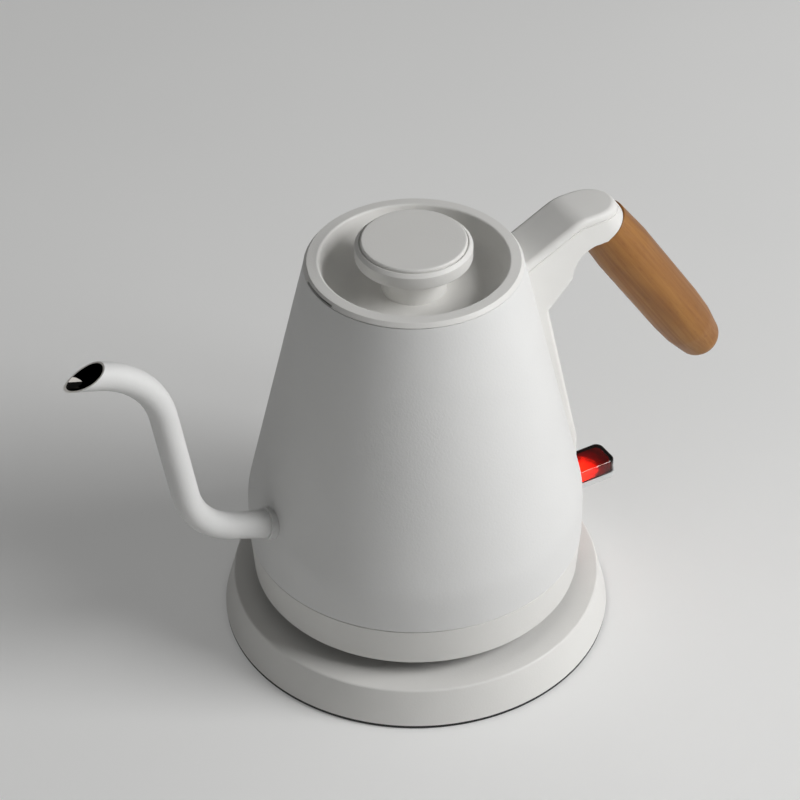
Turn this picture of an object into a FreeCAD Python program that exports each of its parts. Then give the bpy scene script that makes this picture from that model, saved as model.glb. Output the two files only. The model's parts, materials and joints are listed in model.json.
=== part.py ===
"""Electric gooseneck kettle on its power base, as a parametric document in millimetres.

Frame: +Z up, origin on the kettle's axis in the plane the feet stand on.
The handle points along +X, the spout along -X.
"""
import FreeCAD, Part
import math
import os
import Sketcher

Vector = FreeCAD.Vector
SHEET = "sizes"
FULL_TURN = 360.0

doc = FreeCAD.newDocument("kettle")
sheet = doc.addObject("Spreadsheet::Sheet", SHEET)
sheet_rows = []
nodes = []


class Size:
    """A length with the sheet expression that gives it, so that both stay in step."""

    def __init__(self, value, text):
        self.value = float(value)
        self.text = text

    def __add__(self, other):
        other = as_size(other)
        return Size(self.value + other.value, "(%s + %s)" % (self.text, other.text))

    def __radd__(self, other):
        return as_size(other) + self

    def __sub__(self, other):
        other = as_size(other)
        return Size(self.value - other.value, "(%s - %s)" % (self.text, other.text))

    def __rsub__(self, other):
        return as_size(other) - self

    def __mul__(self, other):
        other = as_size(other)
        return Size(self.value * other.value, "(%s * %s)" % (self.text, other.text))

    __rmul__ = __mul__

    def __truediv__(self, other):
        other = as_size(other)
        return Size(self.value / other.value, "(%s / %s)" % (self.text, other.text))

    def __neg__(self):
        return Size(-self.value, "(0 - %s)" % self.text)


def as_size(item):
    return item if isinstance(item, Size) else Size(item, "(%r)" % float(item))


def sine(angle):
    return Size(math.sin(math.radians(angle.value)), "sin(%s * 1 deg)" % angle.text)


def cosine(angle):
    return Size(math.cos(math.radians(angle.value)), "cos(%s * 1 deg)" % angle.text)


def smaller(one, other):
    return Size(min(one.value, other.value), "min(%s; %s)" % (one.text, other.text))


def size(alias, value, note):
    """One driving dimension: a note, a plain number and its alias in the sheet."""
    row = len(sheet_rows) + 1
    sheet_rows.append(alias)
    sheet.set("A%d" % row, note)
    sheet.set("B%d" % row, str(value))
    sheet.setAlias("B%d" % row, alias)
    return Size(value, "%s.%s" % (SHEET, alias))


def bind(item, prop, length):
    """Ties a property to the sheet."""
    item.setExpression(prop, as_size(length).text)


# Driving dimensions of the power base
base_low_r = size("base_low_r", 80.0, "base shell, radius of its lower edge")
base_low_z = size("base_low_z", 1.7, "base shell, height of its lower edge")
base_high_r = size("base_high_r", 75.9, "base shell, radius of its top edge")
base_high_z = size("base_high_z", 17.0, "base shell, height of its top")
base_edge = size("base_edge", 1.0, "base shell, rounding of its top edge")
base_wall = size("base_wall", 2.2, "base shell, wall")
seat_r = size("seat_r", 36.0, "seat under the kettle, outer radius")
seat_z = size("seat_z", 24.6, "seat under the kettle, height")
seat_hole_r = size("seat_hole_r", 17.0, "seat, radius of the connector's hole")
plate_low_z = size("plate_low_z", 1.2, "base plate, underside")
plate_high_z = size("plate_high_z", 3.8, "base plate, upper face")
plate_gap = size("plate_gap", 0.34, "base plate, gap to the shell's wall")
foot_r = size("foot_r", 6.0, "foot, radius")
foot_high_z = size("foot_high_z", 2.0, "foot, upper face in its pocket")
foot_inset = size("foot_inset", 9.8, "feet, distance of their middle from the plate's edge")
post_inset = size("post_inset", 13.0, "base screw posts, distance inside the circle of the feet")
post_r = size("post_r", 3.5, "screw posts, radius")
base_screw_r = size("base_screw_r", 1.2, "base screws, shank radius")
base_screw_high_z = size("base_screw_high_z", 12.0, "base screws, top of the shank")
screw_head_r = size("screw_head_r", 2.8, "base and cover screws, head radius")
screw_head_tall = size("screw_head_tall", 1.3, "base and cover screws, head height")
head_room = size("head_room", 0.3, "screw heads, radial room in the counterbore")
gland_r = size("gland_r", 4.4, "cord gland, radius in the wall")
gland_bore_r = size("gland_bore_r", 3.0, "cord gland, bore radius")
gland_flange_r = size("gland_flange_r", 5.2, "cord gland, flange radius")
gland_flange = size("gland_flange", 2.0, "cord gland, flange thickness")
gland_rise = size("gland_rise", 0.3, "cord gland, gap between its flange and the base plate")
gland_seat_gap = size("gland_seat_gap", 0.3, "cord gland, gap between its flange and the wall")
gland_proud = size("gland_proud", 0.5, "cord gland, how far it stands out of the wall")

# Driving dimensions of the connector
post_top_z = size("post_top_z", 37.0, "connector post, top")
connector_r = size("connector_r", 10.0, "connector post, radius")
connector_low_z = size("connector_low_z", 8.0, "connector, underside")
connector_body_r = size("connector_body_r", 14.0, "connector, radius below its flange")
connector_flange_r = size("connector_flange_r", 22.0, "connector, flange radius")
connector_flange = size("connector_flange", 2.4, "connector, flange thickness")
contact_depth = size("contact_depth", 1.0, "contact rings, depth in the post")
contact_tall = size("contact_tall", 2.5, "contact rings, height")
contact_low_z = size("contact_low_z", 28.0, "lower contact ring, lower edge")
contact_pitch = size("contact_pitch", 4.5, "contact rings, spacing")
sleeve_r = size("sleeve_r", 2.6, "contact sleeve, outer radius")
sleeve_bore_r = size("sleeve_bore_r", 1.9, "contact sleeve, bore radius")
sleeve_low_z = size("sleeve_low_z", 20.0, "contact sleeve, lower end")
shutter_r = size("shutter_r", 16.7, "shutter collar, outer radius")
shutter_tall = size("shutter_tall", 2.0, "shutter collar, height")
running_fit = size("running_fit", 0.05, "turning fits, radial clearance")
socket_r = size("socket_r", 11.6, "control unit, radius of its socket")
socket_high_z = size("socket_high_z", 38.4, "control unit, ceiling of its socket")
spring_gap = size("spring_gap", 0.3, "control contacts, gap to the rings")
spring_angle = size("spring_angle", 40.0, "control contacts, angle each one spans")
control_r = size("control_r", 22.0, "control unit, radius")
control_low_z = size("control_low_z", 25.0, "control unit, underside")
control_pin_r = size("control_pin_r", 1.6, "control pin, radius")
control_pin_low_z = size("control_pin_low_z", 27.0, "control pin, tip")

# Driving dimensions of the kettle's body and band
rim_r = size("rim_r", 42.4, "body, radius at the rim")
rim_z = size("rim_z", 170.8, "body, height of the rim")
body_r = size("body_r", 68.4, "body, radius of its upright foot")
bend_z = size("bend_z", 60.1, "body, height where the cone meets the foot")
bend_round = size("bend_round", 32.0, "body, blend between cone and foot")
body_wall = size("body_wall", 0.8, "body, wall")
seam_z = size("seam_z", 41.3, "seam between band and body")
band_low_r = size("band_low_r", 67.0, "band, radius of its lower edge")
band_low_z = size("band_low_z", 23.85, "band, height of its lower edge")
band_high_r = size("band_high_r", 68.3, "band, radius at the seam")
band_edge = size("band_edge", 0.8, "band, rounding of its lower edge")
band_inner_r = size("band_inner_r", 64.8, "band, inner radius")
spigot_high_z = size("spigot_high_z", 47.0, "band, top of the spigot inside the body")
spigot_gap = size("spigot_gap", 0.3, "band, gap between spigot and body")
floor_low_z = size("floor_low_z", 48.0, "vessel floor, underside")
floor_thick = size("floor_thick", 1.2, "vessel floor, thickness")
spreader_r = size("spreader_r", 56.0, "heat spreader, radius")
spreader_low_z = size("spreader_low_z", 46.0, "heat spreader, underside")
element_in_r = size("element_in_r", 40.0, "heating element, inner radius")
element_out_r = size("element_out_r", 47.0, "heating element, outer radius")
element_low_z = size("element_low_z", 41.0, "heating element, underside")
element_angle = size("element_angle", 320.0, "heating element, angle it spans")
cover_high_z = size("cover_high_z", 26.8, "bottom cover, upper face")
cover_gap = size("cover_gap", 0.2, "bottom cover, gap to the band and the control unit")
cover_post_place_r = size("cover_post_place_r", 60.4, "bottom cover's screw posts, distance from the axis")
cover_post_r = size("cover_post_r", 5.2, "bottom cover's screw posts, radius")
cover_post_high_z = size("cover_post_high_z", 44.0, "bottom cover's screw posts, top")
cover_screw_high_z = size("cover_screw_high_z", 36.0, "bottom cover's screws, top of the shank")
steam_in_r = size("steam_in_r", 3.0, "steam inlet in the body wall, radius")
steam_in_z = size("steam_in_z", 145.0, "steam inlet, height")
steam_out_r = size("steam_out_r", 2.0, "steam outlet above the band, radius")
steam_out_z = size("steam_out_z", 44.4, "steam outlet, height")

# Driving dimensions of the spout
spout_r = size("spout_r", 5.4, "spout tube, outer radius")
spout_wall = size("spout_wall", 0.8, "spout tube, wall")
spout_root_x = size("spout_root_x", -62.0, "spout axis, start inside the body")
spout_root_z = size("spout_root_z", 67.0, "spout axis, height of its start")
spout_rise_x = size("spout_rise_x", -99.2, "spout axis, corner at the foot of the rise")
spout_rise_z = size("spout_rise_z", 80.2, "spout axis, height of that corner")
spout_neck_x = size("spout_neck_x", -112.1, "spout axis, corner at the head of the rise")
spout_neck_z = size("spout_neck_z", 161.7, "spout axis, height of that corner")
spout_end_x = size("spout_end_x", -152.0, "spout axis, end before the slanted cut")
spout_end_z = size("spout_end_z", 174.8, "spout axis, height of that end")
spout_low_round = size("spout_low_round", 31.0, "spout axis, lower bend radius")
spout_high_round = size("spout_high_round", 36.0, "spout axis, upper bend radius")
lip_low_x = size("lip_low_x", -147.15, "slanted cut, lower lip")
lip_low_z = size("lip_low_z", 167.3, "slanted cut, height of the lower lip")
lip_high_x = size("lip_high_x", -130.4, "slanted cut, upper lip")
lip_high_z = size("lip_high_z", 173.5, "slanted cut, height of the upper lip")
lip_cutter = size("lip_cutter", 60.0, "slanted cut, reach of the cutting block")
root_flare_r = size("root_flare_r", 5.9, "spout root, outer radius at the body")
root_flare_long = size("root_flare_long", 19.0, "spout root, length of the taper from the axis start")
collar_r = size("collar_r", 6.6, "spout collar, outer radius")
collar_out = size("collar_out", 7.8, "spout collar, outer face along the axis")

# Driving dimensions of the handle
arm_half = size("arm_half", 10.7, "handle arm, half width")
arm_top_z = size("arm_top_z", 171.7, "handle arm, level top")
arm_bend_x = size("arm_bend_x", 69.4, "handle arm, where the slope meets the level top")
arm_slope = size("arm_slope", 0.49, "handle arm, rise of the slope per length")
arm_bend_round = size("arm_bend_round", 16.0, "handle arm, rounding of that bend")
arm_cover_thick = size("arm_cover_thick", 3.6, "handle top cover, thickness")
arm_edge = size("arm_edge", 2.4, "handle top cover, rounding of its edge")
arm_low_z = size("arm_low_z", 158.0, "handle arm, level underside")
arm_crook_x = size("arm_crook_x", 66.4, "handle arm, inner corner of the crook")
arm_crook_z = size("arm_crook_z", 145.8, "handle arm, height of that corner")
arm_crook_round = size("arm_crook_round", 12.0, "handle arm, rounding of the crook")
stub_ease = size("stub_ease", 0.05, "handle arm, radial step of its round end below the web")
stub_inset = size("stub_inset", 0.75, "handle arm, its round end's distance inward of the grip's axis")
arm_toe_x = size("arm_toe_x", 56.7, "handle arm, toe above the spine")
arm_toe_z = size("arm_toe_z", 135.7, "handle arm, height of the toe")
arm_heel_x = size("arm_heel_x", 44.0, "handle arm, inner end of the toe face, inside the body")
arm_heel_z = size("arm_heel_z", 126.2, "handle arm, height of that end")
arm_wall = size("arm_wall", 2.2, "handle arm, wall")
arm_shelf_z = size("arm_shelf_z", 157.4, "handle arm, shelf that the screws clamp")
seat_gap = size("seat_gap", 0.1, "handle arm and spine, gap to the body")
bracket_low_z = size("bracket_low_z", 152.0, "handle bracket, underside")
bracket_thick = size("bracket_thick", 3.0, "handle bracket, thickness")
bracket_half = size("bracket_half", 7.5, "handle bracket, half width")
bracket_end_x = size("bracket_end_x", 64.0, "handle bracket, end in the arm")
bracket_fit = size("bracket_fit", 0.05, "handle bracket, side room in the arm")
arm_screw_r = size("arm_screw_r", 2.0, "handle screws, shank radius")
arm_screw_x = size("arm_screw_x", 58.0, "handle screws, distance from the axis")
arm_screw_y = size("arm_screw_y", 4.2, "handle screws, offset from the middle")
arm_screw_low_z = size("arm_screw_low_z", 147.0, "handle screws, tip")
arm_screw_head_r = size("arm_screw_head_r", 3.2, "handle screws, head radius")
arm_screw_head = size("arm_screw_head", 2.0, "handle screws, head height")
duct_half = size("duct_half", 5.0, "steam duct in the arm, half width")
duct_far_x = size("duct_far_x", 53.6, "steam duct in the arm, outer wall")
duct_high_z = size("duct_high_z", 149.0, "steam duct in the arm, ceiling")
grip_end_x = size("grip_end_x", 145.0, "grip, lower end")
grip_end_z = size("grip_end_z", 73.0, "grip, height of its lower end")
grip_tilt = size("grip_tilt", 34.35, "grip, lean from upright in degrees")
grip_long = size("grip_long", 105.4, "grip, length along its axis")
grip_r = size("grip_r", 11.65, "grip, radius above its lower end")
grip_swell_r = size("grip_swell_r", 12.0, "grip, largest radius, under the arm")
grip_top_r = size("grip_top_r", 10.8, "grip, radius where it meets the arm")
grip_tip_r = size("grip_tip_r", 6.6, "grip, flat of the lower end before rounding")
grip_tip_round = size("grip_tip_round", 5.0, "grip, rounding of the lower end")
grip_waist_r = size("grip_waist_r", 9.7, "grip, radius above the end")
grip_waist = size("grip_waist", 11.5, "grip, height of that radius along the axis")
grip_full_low = size("grip_full_low", 30.0, "grip, height of the radius above its lower end")
grip_full_high = size("grip_full_high", 86.0, "grip, height of the largest radius")
grip_blend = size("grip_blend", 60.0, "grip, blend between its tapers")
rod_r = size("rod_r", 2.0, "grip rod, radius")
rod_low = size("rod_low", 50.0, "grip rod, lower end along the grip's axis")
rod_high = size("rod_high", 112.4, "grip rod, upper end along the grip's axis")
rod_room = size("rod_room", 0.2, "grip rod, radial room in the arm")
nut_low = size("nut_low", 108.4, "grip nut, bearing face along the grip's axis")
nut_thick = size("nut_thick", 3.2, "grip nut, thickness")
nut_r = size("nut_r", 3.9, "grip nut, radius across corners")
nut_room = size("nut_room", 0.5, "grip nut, room round it in the arm")

# Driving dimensions of the spine
spine_half = size("spine_half", 9.5, "spine cover, half width")
spine_top_x = size("spine_top_x", 56.5, "spine cover, outer face under the arm")
spine_bend_x = size("spine_bend_x", 73.6, "spine cover, outer face at its foot")
spine_bend_z = size("spine_bend_z", 60.5, "spine cover, height of the bend")
spine_round = size("spine_round", 28.0, "spine cover, blend at the bend")
spine_low_z = size("spine_low_z", 44.0, "spine cover, lower end")
spine_edge = size("spine_edge", 2.6, "spine cover, rounding of its long edges")
spine_wall = size("spine_wall", 1.9, "spine cover, wall")
spine_inner_x = size("spine_inner_x", 60.0, "spine cover, inner limit at its foot, inside the body")

# Driving dimensions of the lid
lid_edge_r = size("lid_edge_r", 41.2, "lid, radius of its flat rim")
lid_edge_z = size("lid_edge_z", 172.9, "lid, height of the rim's outer edge")
lid_side_z = size("lid_side_z", 171.3, "lid, top of its upright side")
lid_crown_r = size("lid_crown_r", 36.7, "lid, inner edge of the rim")
lid_crown_z = size("lid_crown_z", 173.2, "lid, height of the rim's inner edge")
lid_crown_round = size("lid_crown_round", 1.6, "lid, rounding of that edge")
lid_wall_r = size("lid_wall_r", 33.0, "lid, foot of the dish wall")
dish_z = size("dish_z", 160.0, "lid, floor of the dish")
dish_round = size("dish_round", 9.0, "lid, rounding of the dish")
lid_thick = size("lid_thick", 2.0, "lid, wall")
plug_r = size("plug_r", 40.2, "lid, radius of its plug")
plug_low_z = size("plug_low_z", 156.0, "lid, lower edge of its plug")
seal_r = size("seal_r", 41.2, "lid seal, outer radius")
seal_low_z = size("seal_low_z", 165.5, "lid seal, lower edge")
seal_tall = size("seal_tall", 3.0, "lid seal, height")
seal_depth = size("seal_depth", 0.9, "lid seal, depth in the plug")
inner_cover_thick = size("inner_cover_thick", 1.2, "lid's inner cover, thickness")
notch_half_angle = size("notch_half_angle", 11.4, "lid notch, half of its angle")
notch_depth = size("notch_depth", 1.6, "lid notch, depth")
notch_tall = size("notch_tall", 1.3, "lid notch, height")
stem_r = size("stem_r", 12.7, "knob stem, radius")
knob_low_z = size("knob_low_z", 174.5, "knob, underside of the disc")
knob_r = size("knob_r", 22.7, "knob, radius")
knob_high_z = size("knob_high_z", 180.9, "knob, top of the disc")
knob_under_round = size("knob_under_round", 1.6, "knob, rounding between stem and disc")
knob_edge_round = size("knob_edge_round", 0.5, "knob, rounding of the disc's lower edge")
knob_bevel = size("knob_bevel", 1.3, "knob, bevel at the top")
knob_recess_r = size("knob_recess_r", 21.0, "knob, radius of the cap's recess")
knob_recess = size("knob_recess", 2.2, "knob, depth of the cap's recess")
cap_r = size("cap_r", 20.6, "knob cap, radius")
cap_high_z = size("cap_high_z", 182.1, "knob cap, top")
cap_round = size("cap_round", 0.9, "knob cap, rounding")
lid_screw_r = size("lid_screw_r", 2.0, "lid screw, shank radius")
lid_screw_high_z = size("lid_screw_high_z", 170.0, "lid screw, tip")
lid_screw_head_r = size("lid_screw_head_r", 3.6, "lid screw, head radius")
lid_screw_head = size("lid_screw_head", 1.8, "lid screw, head height")

# Driving dimensions of the switch
pivot_x = size("pivot_x", 60.0, "switch pivot, distance from the axis")
pivot_z = size("pivot_z", 34.0, "switch pivot, height")
pin_r = size("pin_r", 1.5, "switch pivot pin, radius")
barrel_r = size("barrel_r", 3.2, "switch carrier, radius of its barrel")
carrier_half = size("carrier_half", 7.2, "switch carrier, half width")
carrier_low_z = size("carrier_low_z", 29.8, "switch carrier, underside")
carrier_high_z = size("carrier_high_z", 32.4, "switch carrier, face under the lens")
carrier_back_x = size("carrier_back_x", 57.0, "switch carrier, inner end")
carrier_front_x = size("carrier_front_x", 63.0, "switch carrier, outer end of the barrel's web")
carrier_end_x = size("carrier_end_x", 95.4, "switch carrier, outer end")
carrier_round = size("carrier_round", 3.6, "switch carrier, corner rounding")
lens_half = size("lens_half", 6.9, "switch lens, half width")
lens_back_x = size("lens_back_x", 65.5, "switch lens, inner end")
lens_end_x = size("lens_end_x", 95.0, "switch lens, outer end")
lens_high_z = size("lens_high_z", 38.6, "switch lens, top")
lens_round = size("lens_round", 3.4, "switch lens, corner rounding")
lens_edge = size("lens_edge", 0.9, "switch lens, rounding of its top edge")
lens_wall = size("lens_wall", 1.7, "switch lens, wall")
lamp_r = size("lamp_r", 1.6, "indicator lamp, radius")
lamp_low_x = size("lamp_low_x", 68.0, "indicator lamp, inner end")
lamp_long = size("lamp_long", 8.0, "indicator lamp, length")
lamp_rest = size("lamp_rest", 0.9, "indicator lamp, height of its rest on the carrier")
slot_half = size("slot_half", 8.0, "switch slot in the band, half width")
slot_low_z = size("slot_low_z", 28.6, "switch slot in the band, lower edge")
slot_high_z = size("slot_high_z", 40.3, "switch slot in the band, upper edge")
slot_near_x = size("slot_near_x", 62.0, "switch slot, inner reach of the cut")
slot_far_x = size("slot_far_x", 72.0, "switch slot, outer reach of the cut")
frame_back_x = size("frame_back_x", 53.0, "switch frame, inner face")
frame_end_x = size("frame_end_x", 63.2, "switch frame, outer end")
frame_high_z = size("frame_high_z", 39.0, "switch frame, top")
frame_plate = size("frame_plate", 1.6, "switch frame, floor and back thickness")
frame_half = size("frame_half", 10.2, "switch frame, half width")
frame_room = size("frame_room", 0.4, "switch frame, side room for the carrier")
bimetal_r = size("bimetal_r", 5.0, "bimetal disc, radius")
bimetal_thick = size("bimetal_thick", 0.5, "bimetal disc, thickness")

# Plain counts, angles and reaches of cutting tools
FOOT_ANGLES = (45, 135, 225, 315)
COVER_SCREW_ANGLES = (60, 180, 300)
UP = Vector(0, 0, 1)
ACROSS = Vector(0, 1, 0)
OUTWARD = Vector(1, 0, 0)
OVERLAP = 0.5
TOOL_REACH = 12.0


# Drawing and solid-making helpers
def origin_plane(body, role):
    return [item for item in body.Origin.OriginFeatures if item.Role == role][0]


def pin_point(sketch, index, end, x, y):
    """Fixes one point of a sketch at sizes x, y from the sketch's origin."""
    for kind, axis, length in (("DistanceX", -2, x), ("DistanceY", -1, y)):
        if length.value == 0.0:
            sketch.addConstraint(Sketcher.Constraint("PointOnObject", index, end, axis))
        else:
            row = sketch.addConstraint(Sketcher.Constraint(kind, -1, 1, index, end, length.value))
            bind(sketch, "Constraints[%d]" % row, length)


def corner_arc(before, corner, after, radius):
    """The tangent points and arc that round a corner; the last value tells a left turn."""
    come = (corner - before).normalize()
    leave = (after - corner).normalize()
    cross = come.x * leave.y - come.y * leave.x
    turn = math.atan2(abs(cross), come.dot(leave))
    reach = radius * math.tan(turn / 2)
    start = corner - come * reach
    finish = corner + leave * reach
    left = cross > 0
    side = Vector(-come.y, come.x, 0) if left else Vector(come.y, -come.x, 0)
    centre = start + side * radius
    first, last = (start, finish) if left else (finish, start)
    angles = [math.atan2(spot.y - centre.y, spot.x - centre.x) for spot in (first, last)]
    arc = Part.ArcOfCircle(Part.Circle(centre, UP, radius), *angles)
    return start, finish, arc, left


def draw_outline(sketch, points, closed=True):
    """Draws straight runs through points (x, y) or (x, y, rounding), pinned to the sheet."""
    points = [tuple(as_size(item) for item in point) for point in points]
    count = len(points)
    corners = [Vector(point[0].value, point[1].value, 0) for point in points]
    starts = list(corners)
    ends = list(corners)
    arcs = {}
    for index, point in enumerate(points):
        if len(point) == 3:
            before, after = corners[index - 1], corners[(index + 1) % count]
            ends[index], starts[index], arc, left = corner_arc(before, corners[index], after, point[2].value)
            arcs[index] = (arc, left)
    runs = count if closed else count - 1
    for index in range(runs):
        sketch.addGeometry(Part.LineSegment(starts[index], ends[(index + 1) % count]), False)
    for index, point in enumerate(points):
        previous = (index - 1) % count
        if index in arcs:
            arc, left = arcs[index]
            bow = sketch.addGeometry(arc, False)
            mark = sketch.addGeometry(Part.Point(corners[index]), True)
            sketch.addConstraint(Sketcher.Constraint("Tangent", previous, 2, bow, 1 if left else 2))
            sketch.addConstraint(Sketcher.Constraint("Tangent", index, 1, bow, 2 if left else 1))
            sketch.addConstraint(Sketcher.Constraint("PointOnObject", mark, 1, previous))
            sketch.addConstraint(Sketcher.Constraint("PointOnObject", mark, 1, index))
            row = sketch.addConstraint(Sketcher.Constraint("Radius", bow, point[2].value))
            bind(sketch, "Constraints[%d]" % row, point[2])
            pin_point(sketch, mark, 1, point[0], point[1])
        elif not closed and index == count - 1:
            pin_point(sketch, previous, 2, point[0], point[1])
        else:
            if closed or index > 0:
                sketch.addConstraint(Sketcher.Constraint("Coincident", previous, 2, index, 1))
            pin_point(sketch, index, 1, point[0], point[1])


def body_with_sketch(name, plane, points):
    body = doc.addObject("PartDesign::Body", name)
    sketch = body.newObject("Sketcher::SketchObject", name + "_outline")
    sketch.AttachmentSupport = (origin_plane(body, plane), [""])
    sketch.MapMode = "FlatFace"
    draw_outline(sketch, points)
    return body, sketch


def turned(name, points, angle=FULL_TURN):
    """A solid of revolution about Z from points (radius, height)."""
    body, sketch = body_with_sketch(name, "XZ_Plane", points)
    turn = body.newObject("PartDesign::Revolution", name + "_turn")
    turn.Profile = sketch
    turn.ReferenceAxis = (sketch, ["V_Axis"])
    turn.Angle = FULL_TURN
    if isinstance(angle, Size):
        bind(turn, "Angle", angle)
    return body


def side_slab(name, points, half_width):
    """A slab with a side outline in X and Z, as wide each way from the middle."""
    body, sketch = body_with_sketch(name, "XZ_Plane", points)
    pad = body.newObject("PartDesign::Pad", name + "_pad")
    pad.Profile = sketch
    pad.SideType = "Symmetric"
    bind(pad, "Length", 2 * half_width)
    return body


def plan_slab(name, points, low_z, high_z):
    """A slab with a plan outline in X and Y between two heights."""
    body, sketch = body_with_sketch(name, "XY_Plane", points)
    bind(sketch, "AttachmentOffset.Base.z", low_z)
    pad = body.newObject("PartDesign::Pad", name + "_pad")
    pad.Profile = sketch
    bind(pad, "Length", as_size(high_z) - low_z)
    return body


def place(item, x, y, z):
    for prop, length in (("x", x), ("y", y), ("z", z)):
        bind(item, "Placement.Base." + prop, length)
    return item


def cylinder(name, radius, length, x, y, z, axis=UP):
    rod = doc.addObject("Part::Cylinder", name)
    bind(rod, "Radius", radius)
    bind(rod, "Height", length)
    rod.Placement.Rotation = FreeCAD.Rotation(UP, axis)
    return place(rod, x, y, z)


def block(name, low, high):
    """A box between two corners."""
    box = doc.addObject("Part::Box", name)
    for prop, start, finish in zip(("Length", "Width", "Height"), low, high):
        bind(box, prop, as_size(finish) - start)
    return place(box, *low)


def joined(name, items):
    fusion = doc.addObject("Part::MultiFuse", name)
    fusion.Shapes = items
    return fusion


def shared(name, items):
    overlap = doc.addObject("Part::MultiCommon", name)
    overlap.Shapes = items
    return overlap


def without(name, base, tools):
    """The base with every tool cut away."""
    result = doc.addObject("Part::Cut", name)
    result.Base = base
    result.Tool = tools[0] if len(tools) == 1 else joined(name + "_tools", tools)
    return result


def rounded(name, base, radius, wanted):
    """Rounds the edges whose middle and length pass a test."""
    doc.recompute()
    fillet = doc.addObject("Part::Fillet", name)
    fillet.Base = base
    edges = [row for row, edge in enumerate(base.Shape.Edges, 1) if wanted(edge)]
    if not edges:
        raise RuntimeError("no edge to round on " + name)
    fillet.Edges = [(row, radius.value, radius.value) for row in edges]
    return fillet


def around(place_r, angle):
    """A point at a distance from the axis and an angle in degrees."""
    turn = Size(angle, "%r" % float(angle))
    return place_r * cosine(turn), place_r * sine(turn)


def small_screws(name, spots, head_z, tip_z):
    """The base's and cover's equal screws, with their heads down and their tips at one height."""
    shank_z = head_z + screw_head_tall
    solids = []
    for x, y in spots:
        solids.append(cylinder(name + "_head", screw_head_r, screw_head_tall, x, y, head_z))
        solids.append(cylinder(name + "_shank", base_screw_r, tip_z - shank_z, x, y, shank_z))
    return joined(name, solids)


def node(name, item):
    """Makes an object a named sub-part of the kettle."""
    item.Label = name
    nodes.append((name, item))
    return item


def lean_axis():
    """The grip's axis from its lower end up to the arm."""
    lean = math.radians(grip_tilt.value)
    return Vector(-math.sin(lean), 0, math.cos(lean))


def along_grip(distance):
    """A point on the grip's axis, measured from its lower end."""
    return grip_end_x - distance * sine(grip_tilt), Size(0, "0"), grip_end_z + distance * cosine(grip_tilt)


def beside_grip(distance, inward):
    """A point beside the grip's axis, moved square to it toward the body."""
    x, y, z = along_grip(distance)
    return x - inward * cosine(grip_tilt), y, z - inward * sine(grip_tilt)


def grip_cylinder(name, radius, low, high, inward=0):
    foot = beside_grip(as_size(low), as_size(inward))
    return cylinder(name, radius, as_size(high) - low, *foot, axis=lean_axis())


def spout_axis():
    """Direction of the spout where it leaves the body."""
    run = Vector(spout_rise_x.value - spout_root_x.value, 0, spout_rise_z.value - spout_root_z.value)
    return run.normalize()


def body_outline(offset):
    """The body's outer outline, moved outward by an offset, down to the seam and closed on the axis."""
    return [
        (0, seam_z), (body_r + offset, seam_z), (body_r + offset, bend_z, bend_round + offset),
        (rim_r + offset, rim_z), (0, rim_z),
    ]


# The power base
def base_outer_r(z):
    """Outer radius of the base shell's leaning wall at a height."""
    return base_low_r - (base_low_r - base_high_r) * (z - base_low_z) / (base_high_z - base_low_z)


def base_inner_r(z):
    """Inner radius of the base shell's leaning wall at a height."""
    lean = (base_low_r - base_high_r) / (base_high_z - base_wall - base_low_z)
    return base_low_r - base_wall - lean * (z - base_low_z)


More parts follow.
